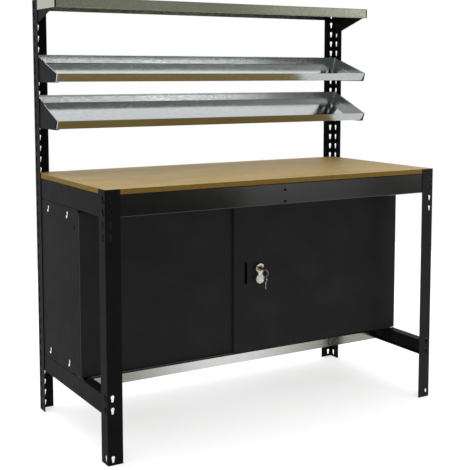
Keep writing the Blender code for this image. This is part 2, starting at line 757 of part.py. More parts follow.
def make_cabinet_sides():
    """Side panels with four keyholes and a slot each, and the bearers hooked into them."""
    upper, lower = panel_hole_levels()
    hole_front = CABINET_FRONT + PANEL_HOLE_INSET
    hole_back = hole_front + PANEL_HOLE_SPACING
    slot_y = CABINET_FRONT + PANEL_SLOT_INSET
    slot_z = CABINET_TOP - PANEL_SLOT_DROP
    slot_low = (slot_y - PANEL_SLOT_WIDTH / 2, slot_z - PANEL_SLOT_HEIGHT / 2)
    slot_high = (slot_y + PANEL_SLOT_WIDTH / 2, slot_z + PANEL_SLOT_HEIGHT / 2)
    for label, side in (("left", -1), ("right", 1)):
        name = "cabinet_side_" + label
        faces = sorted((side * INSIDE, side * (INSIDE - CABINET_LIP)))
        low = (faces[0], CABINET_FRONT, CABINET_BOTTOM)
        high = (faces[1], CABINET_BACK, CABINET_TOP)
        panel = pan(name, low, high, 0, -side, CABINET_SHEET, CABINET_BEND)
        holes = [keyhole(y, z) for y in (hole_front, hole_back) for z in (upper, lower)]
        holes.append(box_outline(slot_low, slot_high))
        wall = sorted((side * (INSIDE + OVERRUN), side * (INSIDE - CABINET_SHEET - OVERRUN)))
        cut(panel, extrude(name + " holes", holes, "X", *wall))
        add_part(panel, BLACK_PAINT)
        make_bearer("cabinet_bearer_upper_" + label, side, LID_BOTTOM - CLEARANCE, upper, -1)
        make_bearer("cabinet_bearer_lower_" + label, side, FLOOR_TOP + CLEARANCE, lower, 1)


def make_bearer(name, side, sheet_level, hole_level, rise):
    """Angle strip behind two keyholes; one leg lies on the floor sheet or under the lid sheet."""
    if rise > 0:
        edge = hole_level + HOLE_RADIUS + BEARER_EDGE
    else:
        edge = hole_level - SLOT_DROP - BEARER_EDGE
    path = [(0, edge), (0, sheet_level), (BEARER_FLANGE, sheet_level)]
    if rise < 0:
        path = path[::-1]
    section = folded_outline(path, BEARER_SHEET, BEAM_BEND)
    outline = placed(section, (side * PANEL_INNER, 0), (-side, 1))
    bearer = extrude(name, [outline], "Y", BEARER_FRONT, BEARER_BACK)
    hole_front = CABINET_FRONT + PANEL_HOLE_INSET
    places = [
        (side * PANEL_INNER, y, hole_level - SLOT_DROP)
        for y in (hole_front, hole_front + PANEL_HOLE_SPACING)
    ]
    fuse(bearer, studs(name + " studs", places, (side, 0, 0), BEARER_SHEET, CABINET_SHEET))
    add_part(bearer, GALVANISED)


def make_cabinet_sheets():
    """Back, floor and lid of the cabinet."""
    low = (-PANEL_INNER, BACK_PANEL_FRONT, FLOOR_BOTTOM)
    high = (PANEL_INNER, SHEET_BACK, LID_TOP)
    add_part(block("cabinet_back", low, high), BLACK_PAINT)
    back = BACK_PANEL_FRONT - CLEARANCE
    low = (-PANEL_INNER, SHEET_FRONT, FLOOR_BOTTOM)
    add_part(block("cabinet_floor", low, (PANEL_INNER, back, FLOOR_TOP)), BLACK_PAINT)
    outline = [
        (-LIP_INNER, TRACK_PLATE_FRONT),
        (LIP_INNER, TRACK_PLATE_FRONT),
        (LIP_INNER, SHEET_FRONT),
        (PANEL_INNER, SHEET_FRONT),
        (PANEL_INNER, back),
        (-PANEL_INNER, back),
        (-PANEL_INNER, SHEET_FRONT),
        (-LIP_INNER, SHEET_FRONT),
    ]
    lid = extrude("cabinet_top", [outline], "Z", LID_BOTTOM, LID_TOP)
    add_part(lid, BLACK_PAINT)


def lane_middle(lane_front):
    """Middle of a door lane, where its fins and rollers run."""
    return lane_front + DOOR_THICKNESS / 2


def make_tracks():
    """Two-lane tracks: a plate on the crossbars with fins up, and one under the lid with fins down."""
    back = CABINET_FRONT + TRACK_BACK
    low = (-BEAM_INNER, TRACK_PLATE_FRONT, SHELF_BOTTOM)
    lower = block("door_track_bottom", low, (BEAM_INNER, back, LOWER_TRACK_TOP))
    low = (-LIP_INNER, TRACK_PLATE_FRONT, UPPER_TRACK_BOTTOM)
    upper = block("door_track_top", low, (LIP_INNER, CABINET_FRONT - CLEARANCE, UPPER_TRACK_TOP))
    for label, lane_front in (("front", DOOR_FRONT), ("rear", REAR_LANE_FRONT)):
        middle = lane_middle(lane_front)
        front = middle - FIN_WIDTH / 2
        rear = middle + FIN_WIDTH / 2
        low = (-LIP_INNER, front, SHELF_BOTTOM + TRACK_SHEET / 2)
        fuse(lower, block("lower fin " + label, low, (LIP_INNER, rear, LOWER_FIN_TOP)))
        low = (OVERRUN - LIP_INNER, front, UPPER_FIN_BOTTOM)
        high = (LIP_INNER - OVERRUN, rear, UPPER_TRACK_TOP - TRACK_SHEET / 2)
        fuse(upper, block("upper fin " + label, low, high))
    add_part(lower, GALVANISED)
    add_part(upper, BLACK_PAINT)


def make_carrier(name, x, lane_front):
    """Block that holds a roller, with a slot for it; the door's sheet carries the block."""
    front = lane_front + DOOR_SHEET / 2
    back = lane_front + DOOR_THICKNESS
    middle = lane_middle(lane_front)
    half = ROLLER_RADIUS + CLEARANCE + CLEARANCE
    bottom = LOWER_FIN_TOP + CLEARANCE
    top = ROLLER_LEVEL + CARRIER_ABOVE
    outer = half + CARRIER_WALL
    body = block(name, (x - outer, front, bottom), (x + outer, back, top))
    gap = ROLLER_WIDTH / 2 + CLEARANCE
    low = (x - half, middle - gap, bottom - OVERRUN)
    slot = block(name + " slot", low, (x + half, middle + gap, top + OVERRUN))
    bore_front = lane_front + DOOR_SHEET + CLEARANCE
    bore = rod(name + " bore", AXLE_RADIUS + CLEARANCE, bore_front, back + OVERRUN, AXLE_SIDES)
    return body, slot, face_front(bore, x, ROLLER_LEVEL)


def make_rollers(door, x_places, lane_front, first):
    """Rollers, axles and top guides of one door."""
    middle = lane_middle(lane_front)
    pieces = []
    for index, x in enumerate(x_places):
        number = first + index
        body, slot, bore = make_carrier("carrier {}".format(number), x, lane_front)
        fuse(door, body)
        cut(door, slot)
        cut(door, bore)
        half = ROLLER_WIDTH / 2
        bore_radius = AXLE_RADIUS + CLEARANCE
        profile = [(bore_radius, half), (ROLLER_RADIUS, half), (ROLLER_RADIUS, -half), (bore_radius, -half)]
        roller = face_front(turned("roller_{}".format(number), profile, ROLLER_SIDES, True), x, ROLLER_LEVEL)
        roller.matrix_world = Matrix.Translation((0, middle, 0)) @ roller.matrix_world
        pieces.append(add_part(roller, WHITE_PLASTIC))
        front = lane_front + DOOR_SHEET + CLEARANCE + CLEARANCE
        back = lane_front + DOOR_THICKNESS - CLEARANCE
        axle = rod("axle_{}".format(number), AXLE_RADIUS, front, back, AXLE_SIDES)
        pieces.append(add_part(face_front(axle, x, ROLLER_LEVEL), SATIN_STEEL))
        pieces.append(make_guide("top_guide_{}".format(number), x, lane_front))
    return pieces


def make_guide(name, x, lane_front):
    """Plastic guide with a groove round the upper fin, on a small shelf of the door."""
    front = lane_front + DOOR_SHEET + CLEARANCE
    back = lane_front + DOOR_THICKNESS
    middle = lane_middle(lane_front)
    top = DOOR_TOP - DOOR_SHEET - CLEARANCE
    bottom = top - GUIDE_HEIGHT
    half = GUIDE_LENGTH / 2
    groove = FIN_WIDTH / 2 + CLEARANCE
    outline = [
        (front, bottom),
        (back, bottom),
        (back, top),
        (middle + groove, top),
        (middle + groove, UPPER_FIN_BOTTOM - CLEARANCE - CLEARANCE),
        (middle - groove, UPPER_FIN_BOTTOM - CLEARANCE - CLEARANCE),
        (middle - groove, top),
        (front, top),
    ]
    return add_part(extrude(name, [outline], "X", x - half, x + half), WHITE_PLASTIC)


def guide_shelves(name, x_places, lane_front):
    """Small shelves inside a door, under its top guides."""
    top = DOOR_TOP - DOOR_SHEET - CLEARANCE - GUIDE_HEIGHT - CLEARANCE
    half = GUIDE_LENGTH / 2
    shelves = []
    for x in x_places:
        low = (x - half, lane_front + DOOR_SHEET / 2, top - GUIDE_SHELF)
        high = (x + half, lane_front + DOOR_THICKNESS, top)
        shelves.append(block("{} shelf {:.3f}".format(name, x), low, high))
    return shelves


def make_door(name, side, lane_front, pull_inset, holes, first):
    """Sheet door in its lane: pan open to the rear, with short hems that clear the fins."""
    outer = side * INSIDE
    inner = outer - side * DOOR_WIDTH
    left, right = sorted((outer, inner))
    back = lane_front + DOOR_THICKNESS
    low = (left, lane_front, DOOR_BOTTOM)
    door = pan(name, low, (right, back, DOOR_TOP), 1, 1, DOOR_SHEET, DOOR_BEND)
    hem_back = lane_front + DOOR_HEM
    for label, bottom, top in (
        ("bottom", DOOR_BOTTOM - OVERRUN, LOWER_FIN_TOP + CLEARANCE),
        ("top", UPPER_FIN_BOTTOM - CLEARANCE, DOOR_TOP + OVERRUN),
    ):
        low = (left - OVERRUN, hem_back, bottom)
        high = (right + OVERRUN, back + OVERRUN, top)
        cut(door, block("{} {} hem".format(name, label), low, high))
    pull_x = outer - side * pull_inset if side < 0 else inner + pull_inset
    pull_z = DOOR_BOTTOM + PULL_LEVEL
    grown = CLEARANCE + CLEARANCE
    slot = stadium((pull_x, pull_z), PULL_WIDTH + grown, PULL_HEIGHT + grown, PULL_STEPS)
    wall = (lane_front - OVERRUN, lane_front + DOOR_SHEET + OVERRUN)
    cut(door, extrude(name + " openings", [slot] + holes, "Y", *wall))
    x_places = (left + ROLLER_INSET, right - ROLLER_INSET)
    for shelf in guide_shelves(name, x_places, lane_front):
        fuse(door, shelf)
    carried = make_rollers(door, x_places, lane_front, first)
    add_part(door, BLACK_PAINT)
    carried.append(door)
    carried.append(make_pull(name.replace("door", "finger_pull"), pull_x, pull_z, lane_front))
    return carried


def make_pull(name, x, z, lane_front):
    """Recessed cup with a thin rim in front of the door's sheet."""
    rim_back = lane_front - CLEARANCE
    rim_front = rim_back - PULL_SHEET
    rim = PULL_RIM + PULL_RIM
    plate = stadium((x, z), PULL_WIDTH + rim, PULL_HEIGHT + rim, PULL_STEPS)
    pull = extrude(name, [plate], "Y", rim_front, rim_back)
    body = stadium((x, z), PULL_WIDTH, PULL_HEIGHT, PULL_STEPS)
    back = rim_back + PULL_DEPTH
    fuse(pull, extrude(name + " cup", [body], "Y", (rim_front + rim_back) / 2, back))
    wall = PULL_SHEET + PULL_SHEET
    hollow = stadium((x, z), PULL_WIDTH - wall, PULL_HEIGHT - wall, PULL_STEPS)
    cut(pull, extrude(name + " hollow", [hollow], "Y", rim_front - OVERRUN, back - PULL_SHEET))
    return add_part(pull, BLACK_PLASTIC)


def make_doors():
    """Left door in the rear lane, right door in the front lane with the lock."""
    bolt_gap = BOLT_RADIUS + CLEARANCE
    cylinder_gap = CYLINDER_RADIUS + CLEARANCE
    bolt_hole = round_hole(LOCK_X, BOLT_LEVEL, bolt_gap)
    cylinder_hole = round_hole(LOCK_X, CYLINDER_LEVEL, cylinder_gap)
    left = make_door("door_left", -1, REAR_LANE_FRONT, LEFT_PULL_INSET, [bolt_hole], 1)
    holes = [bolt_hole, cylinder_hole]
    right = make_door("door_right", 1, DOOR_FRONT, RIGHT_PULL_INSET, holes, 3)
    carry("door_left_slide", (-INSIDE, lane_middle(REAR_LANE_FRONT), LOWER_FIN_TOP), left)
    carry("door_right_slide", (INSIDE, lane_middle(DOOR_FRONT), LOWER_FIN_TOP), right + make_lock())


def make_lock():
    """Figure-of-eight case with a key cylinder above and a bolt below."""
    upper = arc((LOCK_X, CYLINDER_LEVEL), LOBE_RADIUS, -LOBE_CUT, math.pi + LOBE_CUT, LOCK_STEPS)
    lower = arc((LOCK_X, BOLT_LEVEL), LOBE_RADIUS, math.pi - LOBE_CUT, 2 * math.pi + LOBE_CUT, LOCK_STEPS)
    case = extrude("lock_case", [upper + lower], "Y", LOCK_FRONT, LOCK_BACK)
    gap = CYLINDER_RADIUS + CLEARANCE
    bore = rod("cylinder bore", gap, LOCK_FRONT - OVERRUN, LOCK_BACK + OVERRUN, ROUND_STEPS)
    cut(case, face_front(bore, LOCK_X, CYLINDER_LEVEL))
    bolt_front = LOCK_FRONT + BOLT_FACE
    bore = rod("bolt bore", BOLT_RADIUS + CLEARANCE, bolt_front - CLEARANCE, LOCK_BACK + OVERRUN, ROUND_STEPS)
    cut(case, face_front(bore, LOCK_X, BOLT_LEVEL))
    add_part(case, SATIN_STEEL)

    cylinder_back = DOOR_FRONT + DOOR_SHEET + CLEARANCE
    cylinder_front = LOCK_FRONT - CYLINDER_PROUD
    cylinder = rod("lock_cylinder", CYLINDER_RADIUS, cylinder_front, cylinder_back, ROUND_STEPS)
    face_front(cylinder, LOCK_X, CYLINDER_LEVEL)
    key_half = KEY_SHEET / 2 + CLEARANCE
    key_rise = KEY_SHANK_HALF + CLEARANCE
    low = (LOCK_X - key_half, cylinder_front - OVERRUN, CYLINDER_LEVEL - key_rise)
    high = (LOCK_X + key_half, LOCK_FRONT + KEY_DEPTH + CLEARANCE, CYLINDER_LEVEL + key_rise)
    cut(cylinder, block("keyway", low, high))
    add_part(cylinder, SATIN_STEEL)

    cam_front = cylinder_back + CLEARANCE
    hub = arc((LOCK_X, CYLINDER_LEVEL), CAM_RADIUS, math.pi / 2, 3 * math.pi / 2, ROUND_STEPS // 2)
    tip_x = LOCK_X + CAM_LENGTH - CAM_RADIUS
    tip = arc((tip_x, CYLINDER_LEVEL), CAM_RADIUS, -math.pi / 2, math.pi / 2, ROUND_STEPS // 2)
    cam = extrude("lock_cam", [hub + tip], "Y", cam_front, cam_front + CAM_SHEET)
    add_part(cam, SATIN_STEEL)

    bolt_back = REAR_LANE_FRONT - BOLT_TIP_GAP - BOLT_STROKE
    bolt = rod("lock_bolt", BOLT_RADIUS, bolt_front, bolt_back, ROUND_STEPS)
    add_part(face_front(bolt, LOCK_X, BOLT_LEVEL), SATIN_STEEL)
    bolt_slide = carry("bolt_slide", (LOCK_X, bolt_front, BOLT_LEVEL), [bolt])
    turning = [cylinder, cam, make_key(), make_ring()]
    key_axis = carry("key_axis", (LOCK_X, cylinder_front, CYLINDER_LEVEL), turning)
    return [case, bolt_slide, key_axis]


def key_outline(bow, shank_end):
    """Round bow with a shank; bow is its centre, and the shank runs along the first axis."""
    edge = math.asin(KEY_SHANK_HALF / KEY_BOW)
    turn = arc(bow, KEY_BOW, edge, 2 * math.pi - edge, LOCK_STEPS)
    return turn + [(shank_end, bow[1] - KEY_SHANK_HALF), (shank_end, bow[1] + KEY_SHANK_HALF)]


def make_key():
    """Key in the lock, its bow upright."""
    outline = key_outline((KEY_BOW_Y, CYLINDER_LEVEL), LOCK_FRONT + KEY_DEPTH)
    key = extrude("key", [outline], "X", LOCK_X - KEY_SHEET / 2, LOCK_X + KEY_SHEET / 2)
    hole = round_hole(KEY_HOLE_Y, CYLINDER_LEVEL, KEY_HOLE)
    cut(key, extrude("key hole", [hole], "X", LOCK_X - KEY_SHEET, LOCK_X + KEY_SHEET))
    return add_part(key, SATIN_STEEL)


def make_ring():
    """Split ring through the key's bow, with the second key hanging from it."""
    slack = KEY_HOLE - RING_WIRE - CLEARANCE
    ring_level = CYLINDER_LEVEL - slack - RING_RADIUS
    start = math.pi / 2
    end = start - 2 * math.pi * (1 - 1 / RING_SIDES)
    wire = arc((RING_RADIUS, 0), RING_WIRE, start, end, RING_SIDES - 1)
    ring = face_front(turned("key_ring", wire, RING_STEPS, True), LOCK_X, ring_level)
    ring.matrix_world = Matrix.Translation((0, KEY_HOLE_Y, 0)) @ ring.matrix_world
    add_part(ring, SATIN_STEEL)

    hole_level = ring_level - RING_RADIUS - slack
    bow_level = hole_level + KEY_HOLE_EDGE + KEY_HOLE - KEY_BOW
    shank_end = bow_level - KEY_BOW - SPARE_KEY_SHANK
    outline = [(KEY_HOLE_Y + v, -u) for u, v in key_outline((-bow_level, 0), -shank_end)]
    spare = extrude("spare_key", [outline], "X", LOCK_X - KEY_SHEET / 2, LOCK_X + KEY_SHEET / 2)
    hole = round_hole(KEY_HOLE_Y, hole_level, KEY_HOLE)
    cut(spare, extrude("spare key hole", [hole], "X", LOCK_X - KEY_SHEET, LOCK_X + KEY_SHEET))
    add_part(spare, SATIN_STEEL)
    return carry("ring_pivot", (LOCK_X, KEY_HOLE_Y, CYLINDER_LEVEL), [ring, spare])


def main():
    """Build the whole workbench."""
    start_scene()
    make_posts()
    make_frame()
    make_brace()
    make_board()
    make_lower_shelf()
    make_top_shelf()
    make_sloped_tray("upper_tray", UPPER_TRAY_SHARE, UPPER_TRAY_CLIMB)
    make_sloped_tray("lower_tray", LOWER_TRAY_SHARE, LOWER_TRAY_CLIMB)
    make_cabinet_sides()
    make_cabinet_sheets()
    make_tracks()
    make_doors()


main()
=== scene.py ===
"""Dressed model of a steel workbench: chipboard top, three rear trays, cabinet with two sliding doors.

Metres, +Z up. The origin is on the floor at the middle of the footprint, and the front faces -Y.
"""

import json
import logging
import math
from dataclasses import dataclass
from enum import Enum
from typing import Callable, Sequence

import bpy
from mathutils import Euler, Matrix, Vector


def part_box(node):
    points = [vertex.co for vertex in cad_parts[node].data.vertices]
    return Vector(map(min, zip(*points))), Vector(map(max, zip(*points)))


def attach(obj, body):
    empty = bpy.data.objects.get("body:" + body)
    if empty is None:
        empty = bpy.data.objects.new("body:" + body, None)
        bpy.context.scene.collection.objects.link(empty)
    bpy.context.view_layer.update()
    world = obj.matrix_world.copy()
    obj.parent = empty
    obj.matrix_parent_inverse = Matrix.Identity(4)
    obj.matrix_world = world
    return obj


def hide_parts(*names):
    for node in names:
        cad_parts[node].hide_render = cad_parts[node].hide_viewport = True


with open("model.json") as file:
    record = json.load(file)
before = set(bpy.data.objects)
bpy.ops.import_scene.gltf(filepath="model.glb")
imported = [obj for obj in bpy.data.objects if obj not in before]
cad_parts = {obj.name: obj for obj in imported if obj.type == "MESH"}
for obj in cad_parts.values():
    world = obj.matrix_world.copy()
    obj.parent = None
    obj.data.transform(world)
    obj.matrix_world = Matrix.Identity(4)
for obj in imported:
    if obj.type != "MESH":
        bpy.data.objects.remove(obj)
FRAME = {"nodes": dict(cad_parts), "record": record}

log = logging.getLogger("workbench")

Point = tuple[float, float, float]
Colour = tuple[float, float, float, float]
Socket = bpy.types.NodeSocket
Material = bpy.types.Material
Piece = bpy.types.Object

BLACK: Colour = (0, 0, 0, 1)
WHITE: Colour = (1, 1, 1, 1)

# A Mix node's colour sockets are told apart by their places, because their names repeat.
MIX_FACTOR, MIX_FIRST, MIX_SECOND, MIX_RESULT = 0, 6, 7, 2

# Points nearer than this along an axis count as level, and a face looks along an axis when its normal's
# share of that axis is over FACING.
LEVEL = 0.0001
FACING = 0.9

# Turn of a cylinder whose axis runs along Y.
ALONG_Y: Point = (math.pi / 2, 0, 0)

# Angles between two faces: flat enough to merge, sharp in the shading, sharp enough to be rounded.
FLAT, SHARP, ROUNDED = math.radians(0.5), math.radians(32), math.radians(35)

# Corners of a CAD mesh nearer than this are one.
MERGE = 0.000002


class Slot(Enum):
    """Material slots of the record."""

    PAINT = "black_paint"
    ZINC = "galvanised"
    BOARD = "chipboard"
    BLACK_PLASTIC = "black_plastic"
    WHITE_PLASTIC = "white_plastic"
    STEEL = "satin_steel"


class Element(Enum):
    """What is selected in edit mode."""

    FACE = "FACE"
    EDGE = "EDGE"


# Finishes


@dataclass
class Nodes:
    """Node tree, with a short call that adds a node and feeds its inputs."""

    tree: bpy.types.NodeTree

    def add(self, kind: str, inputs: dict[str | int, object], **settings: object) -> bpy.types.Node:
        """Add a node.

        Args:
            kind: Type name of the node.
            inputs: Values or output sockets for its inputs, by name or place.
            **settings: Properties of the node itself.

        Returns:
            The new node.
        """
        node = self.tree.nodes.new(kind)
        for name, value in settings.items():
            setattr(node, name, value)
        for name, value in inputs.items():
            self.feed(node.inputs[name], value)
        return node

    def feed(self, socket: Socket, value: object) -> None:
        """Link a socket to an output, or set its value.

        Args:
            socket: Input socket.
            value: Output socket or plain value.
        """
        if isinstance(value, Socket):
            self.tree.links.new(value, socket)
        else:
            socket.default_value = value

    def ramp(self, factor: Socket, stops: Sequence[tuple[float, Colour]]) -> Socket:
        """Colour ramp over a factor.

        Args:
            factor: Value between 0 and 1.
            stops: Two places and their colours, from the lower one.

        Returns:
            The colour.
        """
        node = self.add("ShaderNodeValToRGB", {"Fac": factor})
        for element, (position, colour) in zip(node.color_ramp.elements, stops):
            element.position = position
            element.color = colour
        return node.outputs["Color"]


class NodeSketch(Nodes):
    """Node tree of one finish, with short calls for the nodes that the finishes use."""

    def __init__(self, name: str) -> None:
        """Start a material that has only its Principled shader.

        Args:
            name: Name of the material.
        """
        self.material = bpy.data.materials.new(name)
        self.material.use_nodes = True
        super().__init__(self.material.node_tree)
        self.shader = self.tree.nodes["Principled BSDF"]
        self.place = self.tree.nodes.new("ShaderNodeTexCoord").outputs["Object"]

    def stretched(self, scale: Point) -> Socket:
        """Object coordinates times a scale along X, Y and Z."""
        return self.add("ShaderNodeMapping", {"Vector": self.place, "Scale": scale}).outputs["Vector"]

    def noise(self, scale: float, detail: float = 3, stretch: Point = (1, 1, 1)) -> Socket:
        """Noise of 0 to 1: waves per metre, octaves of finer noise, extra scale along X, Y and Z."""
        inputs = {"Vector": self.stretched(stretch), "Scale": scale, "Detail": detail}
        return self.add("ShaderNodeTexNoise", inputs).outputs["Fac"]

    def crystals(self, scale: float) -> Socket:
        """Random colour per cell, as on zinc spangle, with so many cells per metre."""
        inputs = {"Vector": self.place, "Scale": scale}
        return self.add("ShaderNodeTexVoronoi", inputs).outputs["Color"]

    def channel(self, colour: Socket, name: str) -> Socket:
        """The Red, Green or Blue channel of a colour."""
        return self.add("ShaderNodeSeparateColor", {"Color": colour}).outputs[name]

    def between(self, factor: Socket, low: float, high: float) -> Socket:
        """Spread a factor of 0 to 1 from a low value to a high one."""
        inputs = {"Value": factor, "To Min": low, "To Max": high}
        return self.add("ShaderNodeMapRange", inputs).outputs["Result"]

    def away_from(self, middle: float, near: float, far: float) -> Socket:
        """Smooth step along X, the same to both sides of a place.

        Args:
            middle: X of the place.
            near: Distance up to which the step is 0.
            far: Distance from which it is 1.

        Returns:
            The step.
        """
        across = self.add("ShaderNodeSeparateXYZ", {"Vector": self.place}).outputs["X"]
        distance = self.add("ShaderNodeMath", {0: self.sum(across, -middle)}, operation="ABSOLUTE")
        inputs = {"Value": distance.outputs[0], "From Min": near, "From Max": far}
        return self.add("ShaderNodeMapRange", inputs, interpolation_type="SMOOTHSTEP").outputs["Result"]

    def sum(self, first: Socket, second: object) -> Socket:
        """Sum of two values, of which the second may be a number."""
        return self.add("ShaderNodeMath", {0: first, 1: second}, operation="ADD").outputs[0]

    def mask(self, factor: Socket, low: float, high: float) -> Socket:
        """Black up to the low level of a factor, and white from the high one."""
        return self.ramp(factor, [(low, BLACK), (high, WHITE)])

    def blend(self, factor: Socket, first: object, second: object) -> Socket:
        """Mix two colours by the share of the second one."""
        inputs = {MIX_FACTOR: factor, MIX_FIRST: first, MIX_SECOND: second}
        return self.add("ShaderNodeMix", inputs, data_type="RGBA").outputs[MIX_RESULT]

    def relief(self, height: Socket, depth: float, strength: float, below: Socket | None = None) -> Socket:
        """Bump from a height.

        Args:
            height: Height between 0 and 1.
            depth: Depth of the relief in metres.
            strength: Strength between 0 and 1.
            below: Normal of a coarser relief under it.

        Returns:
            The bumped normal.
        """
        inputs = {"Height": height, "Distance": depth, "Strength": strength}
        if below is not None:
            inputs["Normal"] = below
        return self.add("ShaderNodeBump", inputs).outputs["Normal"]

    def finish(self, inputs: dict[str, object]) -> Material:
        """Feed the shader and close the recipe.

        Args:
            inputs: Values or output sockets for the shader's inputs.

        Returns:
            The material.
        """
        for name, value in inputs.items():
            self.feed(self.shader.inputs[name], value)
        return self.material


@dataclass(frozen=True)
class PowderCoat:
    """Black powder coat: fine orange peel, slightly uneven gloss, faint dust."""

    name: str = "black powder coat"
    dark: Colour = (0.0048, 0.0048, 0.0050, 1)
    light: Colour = (0.0074, 0.0074, 0.0077, 1)
    peel_scale: float = 620
    peel_depth: float = 0.00012
    peel: float = 0.35
    smoothest: float = 0.36
    roughest: float = 0.50
    gloss: float = 0.015
    cloud_scale: float = 9
    dust_scale: float = 240
    dust: float = 0.25
    sheen_scale: float = 26

    def material(self) -> Material:
        """Build the material.

        Returns:
            The material.
        """
        sketch = NodeSketch(self.name)
        cloud = sketch.noise(self.cloud_scale, 4)
        dust = sketch.between(sketch.noise(self.dust_scale, 2), 0, self.dust)
        base = sketch.ramp(cloud, [(0.35, self.dark), (0.70, self.light)])
        colour = sketch.blend(dust, base, self.light)
        normal = sketch.relief(sketch.noise(self.peel_scale, 2), self.peel_depth, self.peel)
        sheen = sketch.noise(self.sheen_scale, 3)
        return sketch.finish({
            "Base Color": colour,
            "Roughness": sketch.between(sheen, self.smoothest, self.roughest),
            "Specular IOR Level": self.gloss,
            "Normal": normal,
        })


@dataclass(frozen=True)
class Galvanised:
    """Zinc-coated sheet: spangle of small crystals, drawn streaks, soft mirror."""

    name: str = "galvanised sheet"
    dark: Colour = (0.322, 0.337, 0.336, 1)
    light: Colour = (0.402, 0.421, 0.420, 1)
    crystal_scale: float = 130
    streak_scale: float = 3
    streak_stretch: Point = (1.5, 70, 70)
    streak_share: float = 0.5
    smoothest: float = 0.12
    roughest: float = 0.20
    streak_smoother: float = -0.04
    streak_rougher: float = 0.05
    wave_scale: float = 6
    wave_depth: float = 0.0004
    streak_depth: float = 0.00003
    bump: float = 0.05
    metal: float = 1.0

    def material(self) -> Material:
        """Build the material.

        Returns:
            The material.
        """
        sketch = NodeSketch(self.name)
        crystals = sketch.crystals(self.crystal_scale)
        shade = sketch.channel(crystals, "Red")
        frost = sketch.channel(crystals, "Green")
        streaks = sketch.noise(self.streak_scale, 4, self.streak_stretch)
        base = sketch.ramp(sketch.between(shade, 0.25, 0.75), [(0.0, self.dark), (1.0, self.light)])
        colour = sketch.blend(sketch.between(streaks, 0, self.streak_share), base, self.light)
        frosted = sketch.between(frost, self.smoothest, self.roughest)
        streaked = sketch.between(streaks, self.streak_smoother, self.streak_rougher)
        waves = sketch.relief(sketch.noise(self.wave_scale, 1), self.wave_depth, self.bump)
        normal = sketch.relief(streaks, self.streak_depth, self.bump, waves)
        return sketch.finish({
            "Base Color": self.with_painted_reflection(sketch, colour),
            "Metallic": self.metal,
            "Roughness": sketch.sum(frosted, streaked),
            "Normal": normal,
        })

    def with_painted_reflection(self, sketch: NodeSketch, colour: Socket) -> Socket:
        """Colour of the sheet with its painted reflection: a plain sheet has none, so its colour stays."""
        return colour


@dataclass(frozen=True)
class ZincWithPaintedReflection(Galvanised):
    """Zinc sheet with a painted reflection: bright near its middle, painted dim towards both ends."""

    name: str = "zinc of the bottom shelf with painted reflection"
    dark: Colour = (0.535, 0.530, 0.525, 1)
    light: Colour = (0.625, 0.620, 0.615, 1)
    # Painted reflection: the dim tone below, the X of the bright middle, how far it stays bright, and from
    # where it is fully dim.
    painted_dim_tone: Colour = (0.250, 0.247, 0.215, 1)
    middle: float = -0.06
    highlight_reach: float = 0.04
    painted_dim: float = 0.44

    def with_painted_reflection(self, sketch: NodeSketch, colour: Socket) -> Socket:
        """Colour of the sheet, painted dim away from its middle as a painted reflection."""
        share = sketch.away_from(self.middle, self.highlight_reach, self.painted_dim)
        return sketch.blend(share, colour, self.painted_dim_tone)


@dataclass(frozen=True)
class BoardFace:
    """Sanded fibreboard face: even tan with fine fibres and specks."""

    name: str = "board face"
    pale: Colour = (0.345, 0.242, 0.080, 1)
    tan: Colour = (0.287, 0.194, 0.059, 1)
    fibre: Colour = (0.22, 0.145, 0.055, 1)
    cloud_scale: float = 5
    cloud_stretch: Point = (1, 2.5, 1)
    speck_scale: float = 150
    specks: float = 0.36
    fibre_scale: float = 60
    fibre_stretch: Point = (1, 6, 6)
    fibres: float = 0.22
    grain_scale: float = 700
    grain_depth: float = 0.0001
    grain: float = 0.25
    sheen_scale: float = 30
    smoothest: float = 0.46
    roughest: float = 0.62
    gloss: float = 0.10

    def material(self) -> Material:
        """Build the material.

        Returns:
            The material.
        """
        sketch = NodeSketch(self.name)
        cloud = sketch.noise(self.cloud_scale, 5, self.cloud_stretch)
        base = sketch.ramp(cloud, [(0.30, self.tan), (0.70, self.pale)])
        specks = sketch.mask(sketch.noise(self.speck_scale, 3), 0.52, 0.64)
        fibres = sketch.mask(sketch.noise(self.fibre_scale, 4, self.fibre_stretch), 0.56, 0.74)
        speckled = sketch.blend(sketch.between(specks, 0, self.specks), base, self.fibre)
        colour = sketch.blend(sketch.between(fibres, 0, self.fibres), speckled, self.fibre)
        sheen = sketch.noise(self.sheen_scale, 3)
        return sketch.finish({
            "Base Color": colour,
            "Roughness": sketch.between(sheen, self.smoothest, self.roughest),
            "Specular IOR Level": self.gloss,
            "Normal": sketch.relief(sketch.noise(self.grain_scale, 3), self.grain_depth, self.grain),
        })


@dataclass(frozen=True)
class BoardEdge:
    """Sawn board edge: pressed chips with dark pits between them."""

    name: str = "board edge"
    pale: Colour = (0.185, 0.109, 0.020, 1)
    brown: Colour = (0.125, 0.070, 0.011, 1)
    dark: Colour = (0.080, 0.043, 0.008, 1)
    chip_scale: float = 210
    chip_stretch: Point = (0.5, 0.5, 1.9)
    chip_depth: float = 0.0003
    chips: float = 0.4
    pit_scale: float = 520
    pit_stretch: Point = (0.7, 0.7, 1.4)
    pits: float = 0.55
    roughness: float = 0.82
    gloss: float = 0.15

    def material(self) -> Material:
        """Build the material.

        Returns:
            The material.
        """
        sketch = NodeSketch(self.name)
        chips = sketch.noise(self.chip_scale, 4, self.chip_stretch)
        base = sketch.ramp(chips, [(0.36, self.brown), (0.64, self.pale)])
        pits = sketch.mask(sketch.noise(self.pit_scale, 2, self.pit_stretch), 0.58, 0.66)
        return sketch.finish({
            "Base Color": sketch.blend(sketch.between(pits, 0, self.pits), base, self.dark),
            "Roughness": self.roughness,
            "Specular IOR Level": self.gloss,
            "Normal": sketch.relief(chips, self.chip_depth, self.chips),
        })


